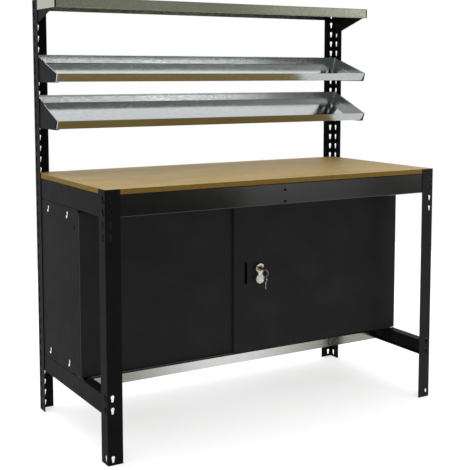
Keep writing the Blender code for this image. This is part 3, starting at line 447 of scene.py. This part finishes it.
@dataclass(frozen=True)
class Moulded:
    """Moulded plastic with a fine matt grain."""

    name: str
    dark: Colour
    light: Colour
    gloss: float = 0.4
    grain_scale: float = 900
    grain_depth: float = 0.00008
    grain: float = 0.4
    cloud_scale: float = 40
    sheen_scale: float = 90
    smoothest: float = 0.42
    roughest: float = 0.60

    def material(self) -> Material:
        """Build the material.

        Returns:
            The material.
        """
        sketch = NodeSketch(self.name)
        cloud = sketch.noise(self.cloud_scale, 3)
        sheen = sketch.noise(self.sheen_scale, 2)
        return sketch.finish({
            "Base Color": sketch.ramp(cloud, [(0.3, self.dark), (0.7, self.light)]),
            "Roughness": sketch.between(sheen, self.smoothest, self.roughest),
            "Specular IOR Level": self.gloss,
            "Normal": sketch.relief(sketch.noise(self.grain_scale, 2), self.grain_depth, self.grain),
        })


@dataclass(frozen=True)
class SatinSteel:
    """Satin metal on lock and keys, with fine brush lines."""

    name: str = "satin steel"
    dark: Colour = (0.34, 0.325, 0.295, 1)
    light: Colour = (0.50, 0.485, 0.450, 1)
    brush: Point = (40, 900, 900)
    brush_depth: float = 0.00003
    brushed: float = 0.4
    cloud_scale: float = 70
    smoothest: float = 0.26
    roughest: float = 0.42

    def material(self) -> Material:
        """Build the material.

        Returns:
            The material.
        """
        sketch = NodeSketch(self.name)
        lines = sketch.noise(1, 3, self.brush)
        cloud = sketch.noise(self.cloud_scale, 3)
        return sketch.finish({
            "Base Color": sketch.ramp(cloud, [(0.3, self.dark), (0.7, self.light)]),
            "Metallic": 1.0,
            "Roughness": sketch.between(lines, self.smoothest, self.roughest),
            "Normal": sketch.relief(lines, self.brush_depth, self.brushed),
        })


class Palette:
    """Every finish of the workbench, built once."""

    def __init__(self) -> None:
        """Build the materials."""
        self.paint = PowderCoat().material()
        # Painted light: a lighter copy of the black powder coat, standing in for the stronger light on the
        # doors and the right front leg.
        lit_grey = ((0.0150, 0.0150, 0.0153, 1), (0.0195, 0.0195, 0.0200, 1))
        self.paint_lit_copy = PowderCoat("black powder coat lightened as painted light", *lit_grey).material()
        deep = ((0.0024, 0.0024, 0.0025, 1), (0.0036, 0.0036, 0.0038, 1))
        gloss = {"peel": 0.05, "smoothest": 0.10, "roughest": 0.15, "gloss": 0.5}
        self.beam_paint = PowderCoat("glossy powder coat of the front beam", *deep, **gloss).material()
        self.zinc = Galvanised().material()
        # Painted light: the bearers' zinc is whitened and made almost non-metallic, so the keyholes in
        # front of them show bright as if light shone through.
        whitened = ((0.78, 0.78, 0.77, 1), (0.88, 0.88, 0.87, 1))
        self.bearer_zinc_painted_light = Galvanised("zinc of the bearers whitened as painted light", *whitened, metal=0.1).material()
        # Painted shade: a darker, olive-tinted copy of the zinc for the top shelf and its hem, standing in
        # for the dimmer light that they mirror.
        painted_dim = ((0.222, 0.228, 0.182, 1), (0.275, 0.281, 0.228, 1))
        self.zinc_painted_dim = Galvanised("zinc darkened as painted shade", *painted_dim).material()
        # Painted reflection: the bottom shelf's zinc is bright in its middle and painted dim towards both
        # ends.
        self.zinc_painted_reflection = ZincWithPaintedReflection().material()
        # Painted shade: the lower track's zinc is darkened to near black, standing in for the shade along
        # the doors' lower edge.
        shaded_track = ((0.045, 0.045, 0.041, 1), (0.068, 0.068, 0.062, 1))
        self.track_zinc_painted_shade = Galvanised("zinc of the lower track darkened as painted shade", *shaded_track).material()
        # Painted shade: the bare cut edge of the bottom shelf, darkened to near black, far below bare
        # steel, standing in for the shade at the shelf's ends.
        sheared_and_shaded = ((0.030, 0.030, 0.030, 1), (0.050, 0.050, 0.050, 1))
        self.sheared_edge_painted_shade = SatinSteel("sheared steel edge darkened as painted shade", *sheared_and_shaded).material()
        aged = ((0.085, 0.066, 0.034, 1), (0.200, 0.157, 0.083, 1))
        self.brass = SatinSteel("aged brass", *aged).material()
        self.board_face = BoardFace().material()
        self.board_edge = BoardEdge().material()
        black = ((0.009, 0.009, 0.009, 1), (0.015, 0.015, 0.016, 1))
        white = ((0.60, 0.59, 0.55, 1), (0.70, 0.69, 0.66, 1))
        self.black_plastic = Moulded("black plastic", *black, gloss=0.1).material()
        self.white_plastic = Moulded("white plastic", *white).material()
        self.steel = SatinSteel().material()

    def of(self, slot: Slot) -> Material:
        """Material that stands for a slot of the record.

        Args:
            slot: The record's slot.

        Returns:
            The material.
        """
        return {
            Slot.PAINT: self.paint,
            Slot.ZINC: self.zinc,
            Slot.BOARD: self.board_face,
            Slot.BLACK_PLASTIC: self.black_plastic,
            Slot.WHITE_PLASTIC: self.white_plastic,
            Slot.STEEL: self.steel,
        }[slot]


# Modelling


def take(piece: Piece) -> None:
    """Make a piece the only selected object, and the active one.

    Args:
        piece: The piece.
    """
    bpy.ops.object.select_all(action="DESELECT")
    piece.select_set(True)
    bpy.context.view_layer.objects.active = piece


def named(name: str) -> Piece:
    """Name the object that an operator has just added, and apply its place.

    Args:
        name: Name of the piece.

    Returns:
        The piece.
    """
    piece = bpy.context.active_object
    piece.name = name
    piece.data.name = name
    settle(piece)
    return piece


def settle(piece: Piece) -> None:
    """Move the place, turn and scale of a piece into its mesh."""
    take(piece)
    bpy.ops.object.transform_apply(location=True, rotation=True, scale=True)


def add_box(name: str, low: Sequence[float], high: Sequence[float]) -> Piece:
    """Start a piece as a box.

    Args:
        name: Name of the piece.
        low: Lowest corner.
        high: Highest corner.

    Returns:
        The piece.
    """
    bpy.ops.object.select_all(action="DESELECT")
    a, b = Vector(low), Vector(high)
    bpy.ops.mesh.primitive_cube_add(size=1, location=(a + b) / 2, scale=b - a)
    return named(name)


def add_disc(name: str, centre: Sequence[float], radius: float, depth: float, sides: int) -> Piece:
    """Start a piece as a cylinder whose axis runs along Y.

    Args:
        name: Name of the piece.
        centre: Its middle.
        radius: Its radius.
        depth: Its length along its axis.
        sides: Number of sides.

    Returns:
        The piece.
    """
    bpy.ops.object.select_all(action="DESELECT")
    bpy.ops.mesh.primitive_cylinder_add(
        vertices=sides, radius=radius, depth=depth, location=centre, rotation=ALONG_Y
    )
    return named(name)


def copy_of(node: str, name: str) -> Piece:
    """Start a piece as a merged copy of a CAD node.

    Args:
        node: Name of the node.
        name: Name of the piece.

    Returns:
        The piece.
    """
    source = FRAME["nodes"][node]
    piece = bpy.data.objects.new(name, source.data.copy())
    piece.data.name = name
    bpy.context.scene.collection.objects.link(piece)
    take(piece)
    bpy.ops.object.mode_set(mode="EDIT")
    bpy.ops.mesh.select_all(action="SELECT")
    bpy.ops.mesh.remove_doubles(threshold=MERGE)
    bpy.ops.mesh.dissolve_limited(angle_limit=FLAT)
    bpy.ops.object.mode_set(mode="OBJECT")
    return piece


def duplicate(piece: Piece, name: str, shift: Sequence[float]) -> Piece:
    """Copy a piece with its own mesh.

    Args:
        piece: The piece to copy.
        name: Name of the copy.
        shift: Move of the copy.

    Returns:
        The copy.
    """
    twin = bpy.data.objects.new(name, piece.data.copy())
    twin.data.name = name
    twin.data.transform(Matrix.Translation(shift))
    bpy.context.scene.collection.objects.link(twin)
    return twin


def pick(piece: Piece, element: Element, test: Callable[[Vector, Vector], bool]) -> None:
    """Go to edit mode with some faces or edges selected.

    Args:
        piece: The piece to edit.
        element: Faces or edges.
        test: Called with a face's middle and normal, or with an edge's two ends.
    """
    take(piece)
    bpy.ops.object.mode_set(mode="EDIT")
    bpy.ops.mesh.select_mode(type=element.value)
    bpy.ops.mesh.select_all(action="DESELECT")
    bpy.ops.object.mode_set(mode="OBJECT")
    mesh = piece.data
    if element is Element.FACE:
        for face in mesh.polygons:
            face.select = test(face.center.copy(), face.normal.copy())
    else:
        for edge in mesh.edges:
            first, second = (mesh.vertices[index].co.copy() for index in edge.vertices)
            edge.select = test(first, second)
    bpy.ops.object.mode_set(mode="EDIT")


def leave() -> None:
    """Go back to object mode."""
    bpy.ops.object.mode_set(mode="OBJECT")


def bevel(piece: Piece, offset: float, segments: int, test: Callable[[Vector, Vector], bool]) -> None:
    """Bevel the edges that a test of their two ends picks.

    Args:
        piece: The piece.
        offset: Width of the bevel.
        segments: Its steps.
        test: Called with an edge's two ends.
    """
    pick(piece, Element.EDGE, test)
    bpy.ops.mesh.bevel(offset=offset, segments=segments, affect="EDGES")
    leave()


def shift_edges(piece: Piece, shift: Point, test: Callable[[Vector, Vector], bool]) -> None:
    """Move the edges that a test of their two ends picks.

    Args:
        piece: The piece.
        shift: The move.
        test: Called with an edge's two ends.
    """
    pick(piece, Element.EDGE, test)
    bpy.ops.transform.translate(value=shift)
    leave()


def apply_modifier(piece: Piece, kind: str, **settings: object) -> None:
    """Add a modifier to a piece and apply it.

    Args:
        piece: The piece.
        kind: Type of the modifier.
        **settings: Its properties.
    """
    take(piece)
    change = piece.modifiers.new(kind.lower(), kind)
    for name, value in settings.items():
        setattr(change, name, value)
    bpy.ops.object.modifier_apply(modifier=change.name)


def cut(piece: Piece, tool: Piece) -> None:
    """Cut a tool object out of a piece, and remove the tool."""
    apply_modifier(piece, "BOOLEAN", operation="DIFFERENCE", solver="EXACT", object=tool)
    bpy.data.objects.remove(tool, do_unlink=True)


def round_edges(piece: Piece, width: float) -> None:
    """Round every sharp edge of a piece in two steps."""
    apply_modifier(piece, "BEVEL", width=width, segments=2, limit_method="ANGLE", angle_limit=ROUNDED)


def smooth(piece: Piece, limit: float = SHARP) -> None:
    """Shade a piece smooth, apart from its sharp edges and its wide flat faces.

    Args:
        piece: The piece.
        limit: Angle from which an edge is sharp.
    """
    take(piece)
    bpy.ops.object.shade_smooth_by_angle(angle=limit)
    apply_modifier(piece, "WEIGHTED_NORMAL", weight=100, keep_sharp=True)


def dress(
    piece: Piece, materials: Sequence[Material], body: str, replaced: Sequence[str] = ()
) -> None:
    """Give a finished piece its finish, its body and the CAD nodes that it stands for.

    Args:
        piece: The piece.
        materials: Materials in the order of its slots; none where the piece has them already.
        body: CAD body that it rides on.
        replaced: CAD nodes that it replaces.
    """
    if materials:
        piece.data.materials.clear()
    for material in materials:
        piece.data.materials.append(material)
    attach(piece, body)
    if replaced:
        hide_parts(*replaced)
    log.info("%s rides on %s: %d faces", piece.name, body, len(piece.data.polygons))


# Sub-assemblies


@dataclass
class CarriedNodes:
    """CAD nodes whose shape stays, each with the finish of its slot."""

    palette: Palette

    def build(self) -> None:
        """Assign the finishes through the nodes' own material slots."""
        slots = {part["node"]: part["material_slot"] for part in FRAME["record"]["subparts"]}
        for name, node in FRAME["nodes"].items():
            material = self.palette.of(Slot(slots[name]))
            if name in ("door_left", "door_right", "front_leg_right"):
                # painted light: the lighter copy of the black paint
                material = self.palette.paint_lit_copy
            elif name == "top_front_beam":
                material = self.palette.beam_paint
            elif name.startswith("cabinet_bearer"):
                # painted light: bearers whitened so the keyholes in front of them show bright
                material = self.palette.bearer_zinc_painted_light
            elif name == "door_track_bottom":
                # painted shade: the lower track darkened to near black
                material = self.palette.track_zinc_painted_shade
            for place in node.material_slots:
                place.link = "OBJECT"
                place.material = material
        log.info("%d CAD nodes dressed", len(FRAME["nodes"]))


@dataclass
class Worktop:
    """Board between the front legs and the rear uprights."""

    palette: Palette
    corner: float = 0.003
    corner_steps: int = 4
    eased: float = 0.0008
    eased_steps: int = 2
    face_lean: float = 0.7

    def build(self) -> None:
        """Model the board with rounded corners and eased rims."""
        low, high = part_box("worktop_board")
        board = add_box("worktop_board_dressed", low, high)
        bevel(board, self.corner, self.corner_steps, lambda a, b: abs(a.z - b.z) > LEVEL)
        bevel(board, self.eased, self.eased_steps, lambda a, b: abs(a.z - b.z) < LEVEL)
        board.data.materials.append(self.palette.board_face)
        board.data.materials.append(self.palette.board_edge)
        for face in board.data.polygons:
            face.material_index = 0 if abs(face.normal.z) > self.face_lean else 1
        smooth(board)
        dress(board, (), "bench", ("worktop_board",))


@dataclass
class SlopedTray:
    """Sloped galvanised tray with four lips, whose rims are folded back."""

    palette: Palette
    node: str
    rise: float
    lip_top: float
    flare: float
    lean: float
    headroom: float = 0.595
    depth: float = 0.210
    lip: float = 0.030
    sheet: float = 0.001
    fold: float = 0.0021
    fold_depth: float = 0.006
    bend: float = 0.002
    bend_steps: int = 3
    corner: float = 0.0060
    corner_steps: int = 5
    relief: float = 0.017
    relief_height: float = 0.85
    relief_reach: float = 0.010
    relief_behind: float = 0.005
    lip_front: float = 0.095

    @property
    def slope(self) -> float:
        """Angle of the floor, whose rise is a share of the height over the bench, as in the CAD."""
        return math.atan(self.rise * self.headroom / self.depth)

    def build(self) -> None:
        """Model the tray level, then turn it to its slope."""
        low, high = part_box(self.node)
        foot_y = self.lip_front + self.lip * math.sin(self.slope)
        foot_z = self.lip_top - self.lip * math.cos(self.slope)
        length = (high.y - foot_y) / math.cos(self.slope)
        tray = add_box(self.node + "_dressed", (low.x, 0, 0), (high.x, length, self.lip))
        self.open_top(tray)
        self.flare_front(tray)
        self.lean_back(tray, length)
        self.bend_folds(tray)
        self.fold_rims(tray, high.x, length)
        apply_modifier(tray, "SOLIDIFY", thickness=self.sheet, offset=-1, use_even_offset=True)
        self.cut_relief(tray, high.x)
        tray.rotation_euler = Euler((self.slope, 0, 0))
        tray.location = (0, foot_y, foot_z)
        settle(tray)
        smooth(tray)
        dress(tray, (self.palette.zinc,), "bench", (self.node,))

    def open_top(self, tray: Piece) -> None:
        """Take the top face off the box.

        Args:
            tray: The box.
        """
        pick(tray, Element.FACE, lambda middle, normal: normal.z > FACING)
        bpy.ops.mesh.delete(type="FACE")
        leave()

    def flare_front(self, tray: Piece) -> None:
        """Open the front lip of the box a little, as sheet springs back from its fold."""
        shift = (0, -self.lip * math.tan(self.flare), 0)
        shift_edges(tray, shift, lambda a, b: min(a.z, b.z) > self.lip / 2 and max(a.y, b.y) < self.sheet)

    def lean_back(self, tray: Piece, length: float) -> None:
        """Open the rear lip a little too.

        Args:
            tray: The open box.
            length: Its length.
        """
        rear = length - self.sheet
        shift = (0, self.lip * math.tan(self.lean), 0)
        shift_edges(tray, shift, lambda a, b: min(a.z, b.z) > self.lip / 2 and min(a.y, b.y) > rear)

    def cut_relief(self, tray: Piece, right: float) -> None:
        """Cut the lower right corner of the front lip off at a slant.

        Args:
            tray: The level tray.
            right: X of its right side.
        """
        reach = self.relief_reach
        low = (right - self.relief, -reach, -reach)
        high = (right + reach, self.relief_behind, self.lip * self.relief_height)
        wedge = add_box("relief tool", low, high)
        slant = (self.relief - self.sheet, 0, 0)
        shift_edges(wedge, slant, lambda a, b: min(a.z, b.z) > 0 and max(a.x, b.x) < right)
        cut(tray, wedge)

    def bend_folds(self, tray: Piece) -> None:
        """Round the four corners and the four lower folds of the open box."""
        bevel(tray, self.corner, self.corner_steps, lambda a, b: abs(a.z - b.z) > self.lip / 2)
        bevel(tray, self.bend, self.bend_steps, lambda a, b: max(a.z, b.z) < self.sheet)

    def fold_rims(self, tray: Piece, half: float, length: float) -> None:
        """Fold the rim of the lips inward and down.

        Args:
            tray: The open box.
            half: Half of its width.
            length: Its length.
        """
        pick(tray, Element.EDGE, lambda a, b: min(a.z, b.z) > self.lip - LEVEL)
        centre = (0, length / 2, self.lip)
        inward = ((half - self.fold) / half, (length / 2 - self.fold) / (length / 2), 1)
        bpy.ops.mesh.extrude_region_move()
        bpy.ops.transform.resize(value=inward, center_override=centre)
        bpy.ops.mesh.extrude_region_move(TRANSFORM_OT_translate={"value": (0, 0, -self.fold_depth)})
        leave()


@dataclass
class TopShelf:
    """Flat top tray: open seams at its front corners, black tabs behind them, a hem along its rim."""

    palette: Palette
    seam_start: float = 0.0024
    seam_width: float = 0.0040
    seam_depth: float = 0.0040
    seam_reach: float = 0.002
    skin: float = 0.0014
    tab_reach: float = 0.016
    tab_depth: float = 0.0015
    tab_inset: float = 0.002
    tab_gap: float = 0.0002
    tab_round: float = 0.0005
    wrap: float = 0.0003
    sheet: float = 0.001
    rise: float = 0.0035
    drop: float = 0.0002
    hem_round: float = 0.0007
    hem_steps: int = 3

    def build(self) -> None:
        """Model the tray, its tabs and its hem."""
        low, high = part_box("top_shelf_tray")
        tray = copy_of("top_shelf_tray", "top_shelf_tray_dressed")
        for side in (-1, 1):
            self.cut_seam(tray, side, low, high)
            self.add_tab(side, low, high)
        smooth(tray)
        # painted shade: the darker, olive copy of the zinc
        dress(tray, (self.palette.zinc_painted_dim,), "bench", ("top_shelf_tray",))
        self.add_hem(low, high)

    def cut_seam(self, tray: Piece, side: int, low: Vector, high: Vector) -> None:
        """Open the seam between the front lip and a side lip.

        Args:
            tray: The tray.
            side: -1 for the left corner, 1 for the right one.
            low: Lowest corner of the tray.
            high: Highest corner of the tray.
        """
        edge = high.x - self.seam_start
        ends = sorted((side * edge, side * (edge - self.seam_width)))
        tool_low = (ends[0], low.y - self.seam_reach, low.z - self.seam_reach)
        tool_high = (ends[1], low.y + self.seam_depth, high.z - self.skin)
        cut(tray, add_box("seam tool", tool_low, tool_high))

    def add_tab(self, side: int, low: Vector, high: Vector) -> None:
        """Add the black tab of the gusset behind a seam.

        Args:
            side: -1 for the left corner, 1 for the right one.
            low: Lowest corner of the tray.
            high: Highest corner of the tray.
        """
        edge = high.x - self.seam_start
        ends = sorted((side * edge, side * (edge - self.tab_reach)))
        front = low.y + self.sheet + self.tab_gap
        tab_low = (ends[0], front, low.z + self.tab_inset)
        tab_high = (ends[1], front + self.tab_depth, high.z - self.skin - self.tab_inset)
        label = "left" if side < 0 else "right"
        tab = add_box("top_shelf_tab_" + label, tab_low, tab_high)
        round_edges(tab, self.tab_round)
        smooth(tab)
        dress(tab, (self.palette.paint,), "bench")

    def add_hem(self, low: Vector, high: Vector) -> None:
        """Add the rolled rim of the front lip.

        Args:
            low: Lowest corner of the tray.
            high: Highest corner of the tray.
        """
        inset = self.seam_start + self.seam_width
        hem_low = (low.x + inset, low.y - self.wrap, low.z - self.drop)
        hem_high = (high.x - inset, low.y + self.sheet + self.wrap, low.z + self.rise)
        hem = add_box("top_shelf_hem", hem_low, hem_high)
        bevel(hem, self.hem_round, self.hem_steps, lambda a, b: abs(a.x - b.x) > LEVEL)
        smooth(hem)
        # painted shade: the darker, olive copy of the zinc
        dress(hem, (self.palette.zinc_painted_dim,), "bench")


@dataclass
class LowerShelf:
    """Bottom shelf: zinc with a painted reflection, and cut ends of bare steel darkened to near black as
    painted shade.
    """

    palette: Palette

    def build(self) -> None:
        """Give the shelf its zinc with the painted reflection, and its two cut ends the bare edge darkened
        as painted shade.
        """
        shelf = copy_of("lower_shelf", "lower_shelf_dressed")
        shelf.data.materials.clear()
        # painted reflection: zinc bright in the middle, painted dim towards the ends
        shelf.data.materials.append(self.palette.zinc_painted_reflection)
        # painted shade: the cut ends darkened to near black
        shelf.data.materials.append(self.palette.sheared_edge_painted_shade)
        for face in shelf.data.polygons:
            face.material_index = 1 if abs(face.normal.x) > FACING else 0
        smooth(shelf)
        dress(shelf, (), "bench", ("lower_shelf",))


@dataclass
class FingerPull:
    """Recessed pull: thin rim on the door and a cup behind it."""

    palette: Palette
    node: str
    body: str
    rim: float = 0.002
    plate: float = 0.0008
    wall: float = 0.0008
    depth: float = 0.0067
    end_share: float = 0.999
    floor_step: float = 0.0012
    edge_round: float = 0.00025
    round_steps: int = 10

    def build(self) -> None:
        """Model rim and cup from one block."""
        low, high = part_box(self.node)
        front, back = low.y, low.y + self.plate
        cup = add_box(self.node + "_dressed", (low.x, front, low.z), (high.x, back, high.z))
        half = (high.x - low.x) / 2
        ends = half * self.end_share
        bevel(cup, ends, self.round_steps, lambda a, b: abs(a.y - b.y) > self.plate / 2)
        pick(cup, Element.FACE, lambda middle, normal: normal.y > FACING)
        bpy.ops.mesh.inset(thickness=self.rim, depth=0)
        bpy.ops.mesh.extrude_region_move(TRANSFORM_OT_translate={"value": (0, self.depth, 0)})
        leave()
        pick(cup, Element.FACE, lambda middle, normal: normal.y < -FACING)
        bpy.ops.mesh.inset(thickness=self.rim + self.wall, depth=0)
        bpy.ops.mesh.extrude_region_move(TRANSFORM_OT_translate={"value": (0, self.depth, 0)})
        bpy.ops.mesh.inset(thickness=self.floor_step, depth=0)
        leave()
        round_edges(cup, self.edge_round)
        smooth(cup)
        dress(cup, (self.palette.black_plastic,), self.body, (self.node,))


@dataclass
class DoorLock:
    """Lock case with its cylinder, the key in it, and a second key on a ring."""

    palette: Palette
    case_round: float = 0.0022
    case_steps: int = 4
    case_sharp: float = math.radians(25)
    bore_reach: float = 0.001
    plug_sides: int = 40
    plug_rim: float = 0.0022
    groove: float = 0.0004
    groove_depth: float = 0.0005
    plug_round: float = 0.0003
    keyway: float = 0.0013
    keyway_height: float = 0.0038
    keyway_depth: float = 0.0095
    keyway_reach: float = 0.002
    key_round: float = 0.0004

    def build(self) -> None:
        """Model each piece of the lock."""
        self.build_case()
        self.build_cylinder()
        self.build_keys()

    def build_case(self) -> None:
        """Round the front rim of the figure-of-eight case."""
        case = copy_of("lock_case", "lock_case_dressed")
        low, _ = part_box("lock_case")
        front = low.y + LEVEL
        steps = self.case_steps
        bevel(case, self.case_round, steps, lambda a, b: max(a.y, b.y) < front and self.on_rim(a, b))
        smooth(case, self.case_sharp)
        dress(case, (self.palette.steel,), "right_door", ("lock_case",))

    def on_rim(self, first: Vector, second: Vector) -> bool:
        """Tell whether an edge of the front face is on the outer rim.

        Args:
            first: One end of the edge.
            second: The other end.

        Returns:
            True outside the bore of the cylinder.
        """
        low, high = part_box("lock_cylinder")
        centre = (low + high) / 2
        reach = (high.x - low.x) / 2 + self.bore_reach
        middle = (first + second) / 2
        return math.hypot(middle.x - centre.x, middle.z - centre.z) > reach

    def build_cylinder(self) -> None:
        """Model the cylinder's face with a rounded rim and a sunk ring round the keyway."""
        low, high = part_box("lock_cylinder")
        centre = (low + high) / 2
        radius = (high.x - low.x) / 2
        plug = add_disc("lock_cylinder_dressed", centre, radius, high.y - low.y, self.plug_sides)
        pick(plug, Element.FACE, lambda middle, normal: normal.y < -FACING)
        bpy.ops.mesh.inset(thickness=self.plug_rim, depth=0)
        bpy.ops.mesh.inset(thickness=self.groove, depth=-self.groove_depth)
        leave()
        tall = self.keyway_height
        slot_low = (centre.x - self.keyway, low.y - self.keyway_reach, centre.z - tall)
        slot_high = (centre.x + self.keyway, low.y + self.keyway_depth, centre.z + tall)
        cut(plug, add_box("keyway tool", slot_low, slot_high))
        round_edges(plug, self.plug_round)
        smooth(plug)
        dress(plug, (self.palette.brass,), "lock_plug", ("lock_cylinder",))

    def build_keys(self) -> None:
        """Soften the edges of both keys."""
        metals = {"key": self.palette.brass, "spare_key": self.palette.steel}
        for node, body in (("key", "lock_plug"), ("spare_key", "key_bunch")):
            key = copy_of(node, node + "_dressed")
            round_edges(key, self.key_round)
            smooth(key)
            dress(key, (metals[node],), body, (node,))


@dataclass
class DoorRollers:
    """Nylon wheels of the doors, with a sunk web and rounded tread."""

    palette: Palette
    bore: float = 0.0023
    hub: float = 0.0038
    rim: float = 0.0022
    sink: float = 0.0006
    web_step: float = 0.0004
    hub_step: float = 0.0003
    edge_round: float = 0.0003
    sides: int = 40
    bore_sides: int = 20

    def build(self) -> None:
        """Model one wheel and copy it to the four places."""
        bodies = {
            "roller_1": "left_door_roller_1",
            "roller_2": "left_door_roller_2",
            "roller_3": "right_door_roller_3",
            "roller_4": "right_door_roller_4",
        }
        first, start = None, Vector()
        for node, body in bodies.items():
            low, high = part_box(node)
            centre = (low + high) / 2
            if first is None:
                wheel = self.wheel(node + "_dressed", centre, high - low)
                first, start = wheel, centre
            else:
                wheel = duplicate(first, node + "_dressed", centre - start)
            dress(wheel, (self.palette.white_plastic,), body, (node,))

    def wheel(self, name: str, centre: Vector, size: Vector) -> Piece:
        """Model one wheel round Y.

        Args:
            name: Name of the piece.
            centre: Its middle.
            size: Size of the CAD roller.

        Returns:
            The wheel.
        """
        radius = size.z / 2
        web = radius - self.rim - self.web_step - self.hub
        wheel = add_disc(name, centre, radius, size.y, self.sides)
        pick(wheel, Element.FACE, lambda middle, normal: abs(normal.y) > FACING)
        bpy.ops.mesh.inset(thickness=self.rim, depth=0, use_individual=True)
        bpy.ops.mesh.inset(thickness=self.web_step, depth=-self.sink, use_individual=True)
        bpy.ops.mesh.inset(thickness=web, depth=0, use_individual=True)
        bpy.ops.mesh.inset(thickness=self.hub_step, depth=self.sink, use_individual=True)
        leave()
        bore = add_disc("bore tool", centre, self.bore, size.y * 2, self.bore_sides)
        cut(wheel, bore)
        round_edges(wheel, self.edge_round)
        smooth(wheel)
        return wheel


# Studio


@dataclass
class Studio:
    """Camera at the photograph's angle, pale floor, soft light."""

    frame_pixels: float = 470
    focal_pixels: float = 976.15
    place: Point = (-1.7849, -2.9728, 1.1968)
    yaw: float = math.radians(30.795)
    pitch: float = math.radians(5.726)
    shift: float = -0.137
    clip_end: float = 200
    floor_size: float = 5.4
    floor_drop: float = 0.0002
    floor_dark: Colour = (0.52, 0.52, 0.52, 1)
    floor_light: Colour = (0.54, 0.54, 0.54, 1)
    floor_roughness: float = 0.9
    floor_glow: float = 0.60
    room_axis: Point = (-0.55, 0.80, 0.25)
    room_from: float = -0.80
    room_to: float = 0.30
    room_dim: Colour = (0.110, 0.112, 0.080, 1)
    room_bright: Colour = (1.33, 1.34, 1.35, 1)

    def build(self) -> None:
        """Set up camera, floor, world and lamps."""
        self.build_camera()
        self.build_floor()
        self.build_world()
        self.build_lamps()
        bpy.context.scene.view_settings.view_transform = "Standard"

    def build_camera(self) -> None:
        """Place the camera."""
        data = bpy.data.cameras.new("camera")
        data.lens = self.focal_pixels / self.frame_pixels * data.sensor_width
        data.shift_y = self.shift
        data.clip_end = self.clip_end
        camera = bpy.data.objects.new("camera", data)
        camera.location = self.place
        camera.rotation_euler = (math.pi / 2 - self.pitch, 0, -self.yaw)
        bpy.context.scene.collection.objects.link(camera)
        bpy.context.scene.camera = camera

    def build_floor(self) -> None:
        """Lay the floor."""
        bpy.ops.object.select_all(action="DESELECT")
        bpy.ops.mesh.primitive_plane_add(size=self.floor_size, location=(0, 0, -self.floor_drop))
        floor = named("studio_floor")
        sketch = NodeSketch("studio floor")
        tone = sketch.ramp(sketch.noise(2, 2), [(0.3, self.floor_dark), (0.7, self.floor_light)])
        floor.data.materials.append(sketch.finish({
            "Base Color": tone,
            "Roughness": self.floor_roughness,
            "Specular IOR Level": 0.0,
            "Emission Color": WHITE,
            "Emission Strength": self.floor_glow,
        }))

    def build_world(self) -> None:
        """Light the room from behind and from the left, and leave its front dim."""
        world = bpy.data.worlds.new("studio")
        bpy.context.scene.world = world
        world.use_nodes = True
        world.node_tree.nodes.clear()
        nodes = Nodes(world.node_tree)
        direction = nodes.add("ShaderNodeTexCoord", {}).outputs["Generated"]
        side = nodes.add("ShaderNodeVectorMath", {0: direction, 1: self.room_axis}, operation="DOT_PRODUCT")
        span = {"Value": side.outputs["Value"], "From Min": self.room_from, "From Max": self.room_to}
        level = nodes.add("ShaderNodeMapRange", span).outputs["Result"]
        tones = nodes.ramp(level, [(0, self.room_dim), (1, self.room_bright)])
        room = nodes.add("ShaderNodeBackground", {"Color": tones}).outputs[0]
        backdrop = nodes.add("ShaderNodeBackground", {"Color": WHITE}).outputs[0]
        seen = nodes.add("ShaderNodeLightPath", {}).outputs["Is Camera Ray"]
        choice = nodes.add("ShaderNodeMixShader", {0: seen, 1: room, 2: backdrop}).outputs[0]
        nodes.add("ShaderNodeOutputWorld", {"Surface": choice})

    def build_lamps(self) -> None:
        """Hang the soft boxes: three round the bench, and six in front of it that face straight back."""
        self.lamp("overhead", (-0.3, 0.2, 3.4), size=(3.2, 3.2), power=45, aim=(0, 0, 0.5))
        self.lamp("front right", (4.6, -3.0, 1.6), size=(3.0, 2.6), power=22, aim=(0.3, -0.2, 1.0))
        self.lamp("left", (-4.5, 0.4, 1.8), size=(2.4, 2.4), power=8, aim=(0, 0, 0.8))
        self.lamp("low front", (2.18, -3.3, 0.40), size=(1.07, 0.90), power=2.1)
        self.lamp("level front", (1.55, -3.3, 0.88), size=(2.10, 0.36), power=13.0)
        self.lamp("level front middle", (1.85, -3.3, 0.76), size=(0.80, 0.20), power=13.0)
        self.lamp("high front", (2.10, -3.3, 1.72), size=(3.40, 0.44), power=2.4)
        self.lamp("high front right", (3.05, -3.25, 1.72), size=(1.50, 0.44), power=1.2)
        self.lamp("low front right", (3.55, -3.3, 0.40), size=(1.67, 0.90), power=1.5)

    def lamp(
        self, name: str, place: Point, size: tuple[float, float], power: float, aim: Point | None = None
    ) -> None:
        """Add one rectangular soft box.

        Args:
            name: Its name.
            place: Its middle.
            size: Width and height.
            power: Power in watts.
            aim: The point that it faces; straight back without one.
        """
        target = aim or (place[0], 0, place[2])
        data = bpy.data.lights.new(name, "AREA")
        data.shape = "RECTANGLE"
        data.size, data.size_y = size
        data.energy = power
        box = bpy.data.objects.new(name, data)
        box.visible_camera = False
        box.location = place
        box.rotation_euler = (Vector(target) - Vector(place)).to_track_quat("-Z", "Y").to_euler()
        bpy.context.scene.collection.objects.link(box)


def main() -> None:
    """Build the studio, dress the CAD nodes and add the detailed pieces."""
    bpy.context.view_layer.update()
    palette = Palette()
    Studio().build()
    CarriedNodes(palette).build()
    Worktop(palette).build()
    upper = {"rise": 0.1147, "lip_top": 1.19498, "flare": math.radians(6.0), "lean": math.radians(2.0)}
    lower = {"rise": 0.1498, "lip_top": 1.03701, "flare": math.radians(3.5), "lean": math.radians(2.8)}
    SlopedTray(palette, "upper_tray", **upper).build()
    SlopedTray(palette, "lower_tray", **lower).build()
    TopShelf(palette).build()
    LowerShelf(palette).build()
    FingerPull(palette, "finger_pull_left", "left_door").build()
    FingerPull(palette, "finger_pull_right", "right_door").build()
    DoorLock(palette).build()
    DoorRollers(palette).build()


if __name__ == "__main__":
    logging.basicConfig(level=logging.INFO, format="%(name)s: %(message)s")
    main()
